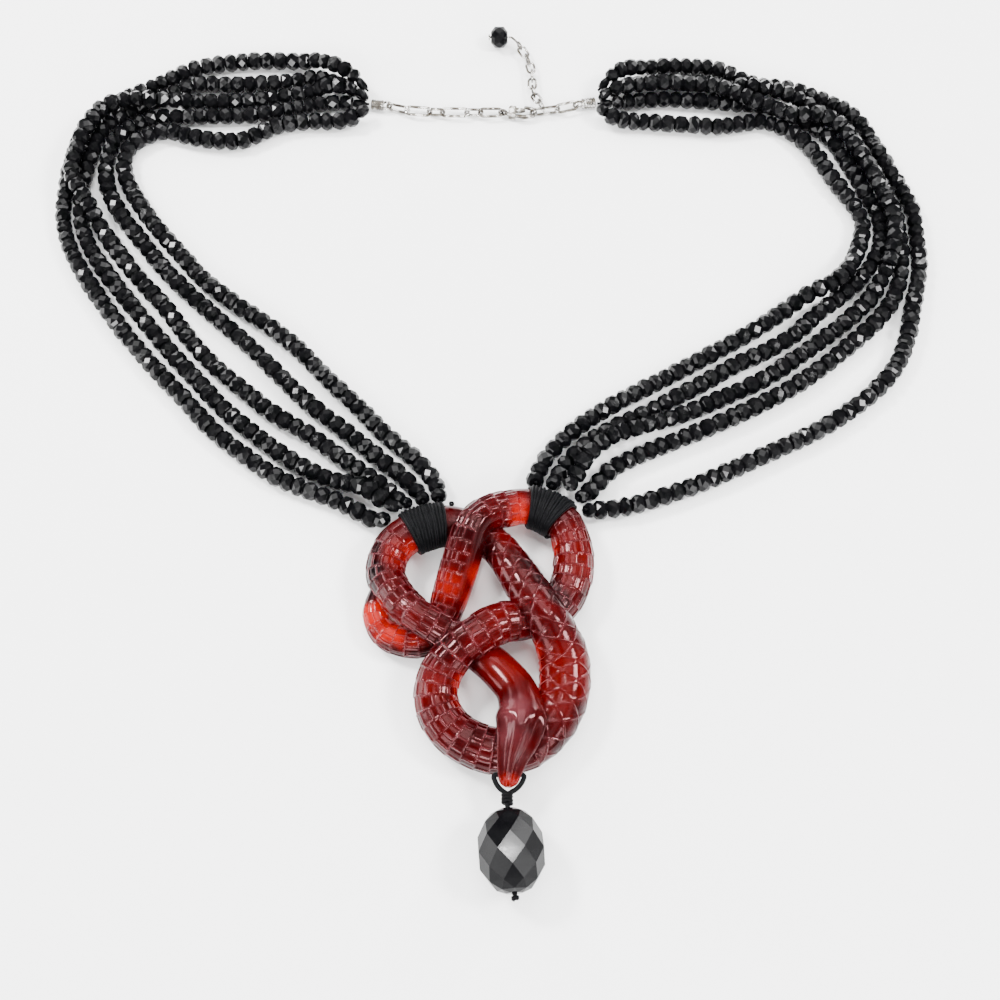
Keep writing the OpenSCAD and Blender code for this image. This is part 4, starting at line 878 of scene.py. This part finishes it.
def sleeve(name, node, first, last, turns, seed):
    """Thread wound round the body: an uneven helix over a dark core."""
    rng = random.Random(seed)
    shape = Shape()
    # the core: a closed sleeve of m rings of n points outside and as many inside
    n, m = 40, 9
    us = np.linspace(first, last, m)
    a = TAU * np.arange(n) / n
    rings = ([around(np.full(n, u), a, 0.70) for u in us]
             + [around(np.full(n, u), a, 0.3) for u in us[::-1]])
    faces = []
    for i in range(2 * m):
        for j in range(n):
            k, o = (j + 1) % n, (i + 1) % (2 * m)
            faces.append((i * n + j, o * n + j, o * n + k, i * n + k))
    shape.add([p for ring in rings for p in ring], faces)
    # the thread, in turns that slip and lift a little
    per_turn = 44
    t = np.arange(turns * per_turn + 1) / per_turn
    knots = np.arange(4 * turns + 5) / 4
    lift = np.interp(t, knots, [rng.uniform(-0.12, 0.0) for _ in knots])
    slip = np.interp(t, knots, [rng.uniform(-0.30, 0.30) for _ in knots])
    us = first + 0.05 + (last - first - 0.10) * np.clip((t + slip) / turns, 0, 1)
    path = around(us, TAU * t, 0.83 + lift)
    path[:, 2] = np.maximum(path[:, 2], 0.32)
    shape.add(*tube(path, 0.31, 8))
    make(name, shape.points, shape.faces, THREAD, stands_for=(node,))


sleeve("sleeve_left", "wrap_left", 37.3, 38.8, 12, 7)
sleeve("sleeve_right", "wrap_right", 11, 12.8, 13, 8)

knot = Shape()
t = np.linspace(0, TAU, 60)
reach = 1 + 0.3 * np.cos(3 * t)
path = np.column_stack([-8 + 0.34 * np.cos(2 * t) * reach, -25.9 + 0.34 * np.sin(2 * t) * reach,
                        7.9 + 0.22 * np.sin(3 * t)])
knot.add(*tube(path, 0.22, 8))
make("tiny_knot", knot.points, knot.faces, THREAD, stands_for=("thread_knot",))


# Drop

def cut_stone(rings, sides, bore):
    """Stone about X from rings of (place, radius), lozenges between them, drilled with bore."""
    n = sides
    points = []
    last = len(rings) - 1
    for i, (x, r) in enumerate(rings):
        for j in range(n):
            a = TAU * (j + (i % 2) / 2 + 0.5) / n
            points.append((x, r * math.cos(a), r * math.sin(a)))
    faces = []
    for i in range(last):
        for j in range(n):
            k = (j + 1) % n
            if i % 2 == 0:
                faces.append((i * n + j, (i + 1) * n + j, i * n + k))
                faces.append((i * n + k, (i + 1) * n + j, (i + 1) * n + k))
            else:
                faces.append((i * n + j, (i + 1) * n + k, i * n + k))
                faces.append((i * n + j, (i + 1) * n + j, (i + 1) * n + k))
    first_hole = len(points)
    for x in (rings[0][0], rings[-1][0]):
        for j in range(n):
            a = TAU * (j + (0.5 if x == rings[0][0] else (last % 2) / 2 + 0.5)) / n
            points.append((x, bore * math.cos(a), bore * math.sin(a)))
    for j in range(n):
        k = (j + 1) % n
        a0, b0 = first_hole, first_hole + n
        faces.append((j, k, a0 + k, a0 + j))
        faces.append((last * n + k, last * n + j, b0 + j, b0 + k))
        faces.append((a0 + j, a0 + k, b0 + k, b0 + j))
    return np.array(points), faces


def turned(points, degrees, place):
    """Points turned about Z and moved to their place."""
    a = math.radians(degrees)
    x = points[:, 0] * math.cos(a) - points[:, 1] * math.sin(a)
    y = points[:, 0] * math.sin(a) + points[:, 1] * math.cos(a)
    return np.column_stack([x, y, points[:, 2]]) + place


DROP_LEAN = 4.6
points, faces = cut_stone([(-8.7, 1.7), (-7.95, 3.6), (-6.2, 5.29), (-3.3, 6.74), (0, 7.3),
                           (3.3, 6.74), (6.1, 5.32), (7.8, 3.6), (8.5, 1.8)], 8, 0.8)
make("drop_stone", turned(points, -90 + DROP_LEAN, (5.3, -102.8, 7.3)), faces, DROP, False,
     stands_for=("drop_bead",))
points, faces = cut_stone([(-2.2, 1.5), (-1.2, 2.68), (0, 2.9), (1.2, 2.68), (2.2, 1.5)], 8, 0.5)
make("end_stone", turned(points, 0, (2.8, 110.1, 2.9)), faces, DROP, False,
     stands_for=("end_bead",))

# the loop through the snout, its knot of two windings, the cord down through the stone and the
# knot under it
cord = Shape()
path, _ = smooth_path(CORD_ROUTE, 0.3)
cord.add(*tube(path, 0.55, 10))
t = np.linspace(0, 3.2 * TAU, 110)
path = np.column_stack([4.5 + 0.82 * np.cos(t), -90.95 - 0.70 * t / TAU, 6.75 + 0.75 * np.sin(t)])
cord.add(*tube(path, 0.5, 8))
t = np.linspace(0.2, 1.6 * TAU, 60)
path = np.column_stack([4.5 + 0.9 * np.cos(t + 2), -91.2 - 1.3 * (t / (1.6 * TAU)) ** 1.3,
                        6.85 + 0.85 * np.sin(t + 2)])
cord.add(*tube(path, 0.42, 8))
path, _ = smooth_path([(4.5, -92.0, 6.9), (4.6, -94.0, 7.2), (5.0, -99.0, 7.3), (5.6, -106.0, 7.3),
                       (6.0, -111.6, 7.3)], 0.6)
cord.add(*tube(path, 0.55, 8))
t = np.linspace(0, 1.7 * TAU, 60)
path = np.column_stack([6.1 + 0.48 * np.cos(t), -111.95 - 0.32 * t / TAU, 7.3 + 0.48 * np.sin(t)])
cord.add(*tube(path, 0.38, 8))
make("cord_and_knots", cord.points, cord.faces, CORD, stands_for=("drop_cord",))


# Silver

# head pin: its eye, the bent wire and the flat end under the bead
pin = Shape()
t = np.append(np.linspace(0, TAU, 48, endpoint=False), 0.02)
axis = np.array([math.cos(math.radians(-62)), math.sin(math.radians(-62)), 0])
path = (np.array([(8.2, 107.9, 2.1)] * 49) + np.outer(np.cos(t), axis)
        + np.outer(np.sin(t), (0, 0, 1)))
pin.add(*tube(path, 0.26, 10))
path, _ = smooth_path([(7.7, 108.8, 2.2), (6.8, 109.6, 2.6), (6.0, 110.05, 2.88), (5.0, 110.1, 2.9),
                       (3.0, 110.1, 2.9), (0.3, 110.1, 2.9)], 0.25)
pin.add(*tube(path, 0.28, 10))
pin.add(*tube([(-0.08, 110.1, 2.9), (0.0, 110.1, 2.9), (0.2, 110.1, 2.9), (0.3, 110.1, 2.9)],
              [0.5, 0.76, 0.8, 0.7], 16))
make("head_pin_wire", pin.points, pin.faces, SILVER, stands_for=("head_pin",))

# the rest of the metal is carried over from the solids
for name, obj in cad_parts.items():
    if name.startswith(("link", "ext_link", "clasp", "hook", "coil")):
        obj.data.materials.clear()
        obj.data.materials.append(SILVER)

# Floor

floor_mesh = bpy.data.meshes.new("floor")
floor_mesh.from_pydata([(-3, -3, -0.0001), (3, -3, -0.0001), (3, 3, -0.0001), (-3, 3, -0.0001)],
                       [], [(0, 1, 2, 3)])
floor_mesh.materials.append(floor_white())
floor = bpy.data.objects.new("floor", floor_mesh)
bpy.context.scene.collection.objects.link(floor)

bpy.context.view_layer.update()
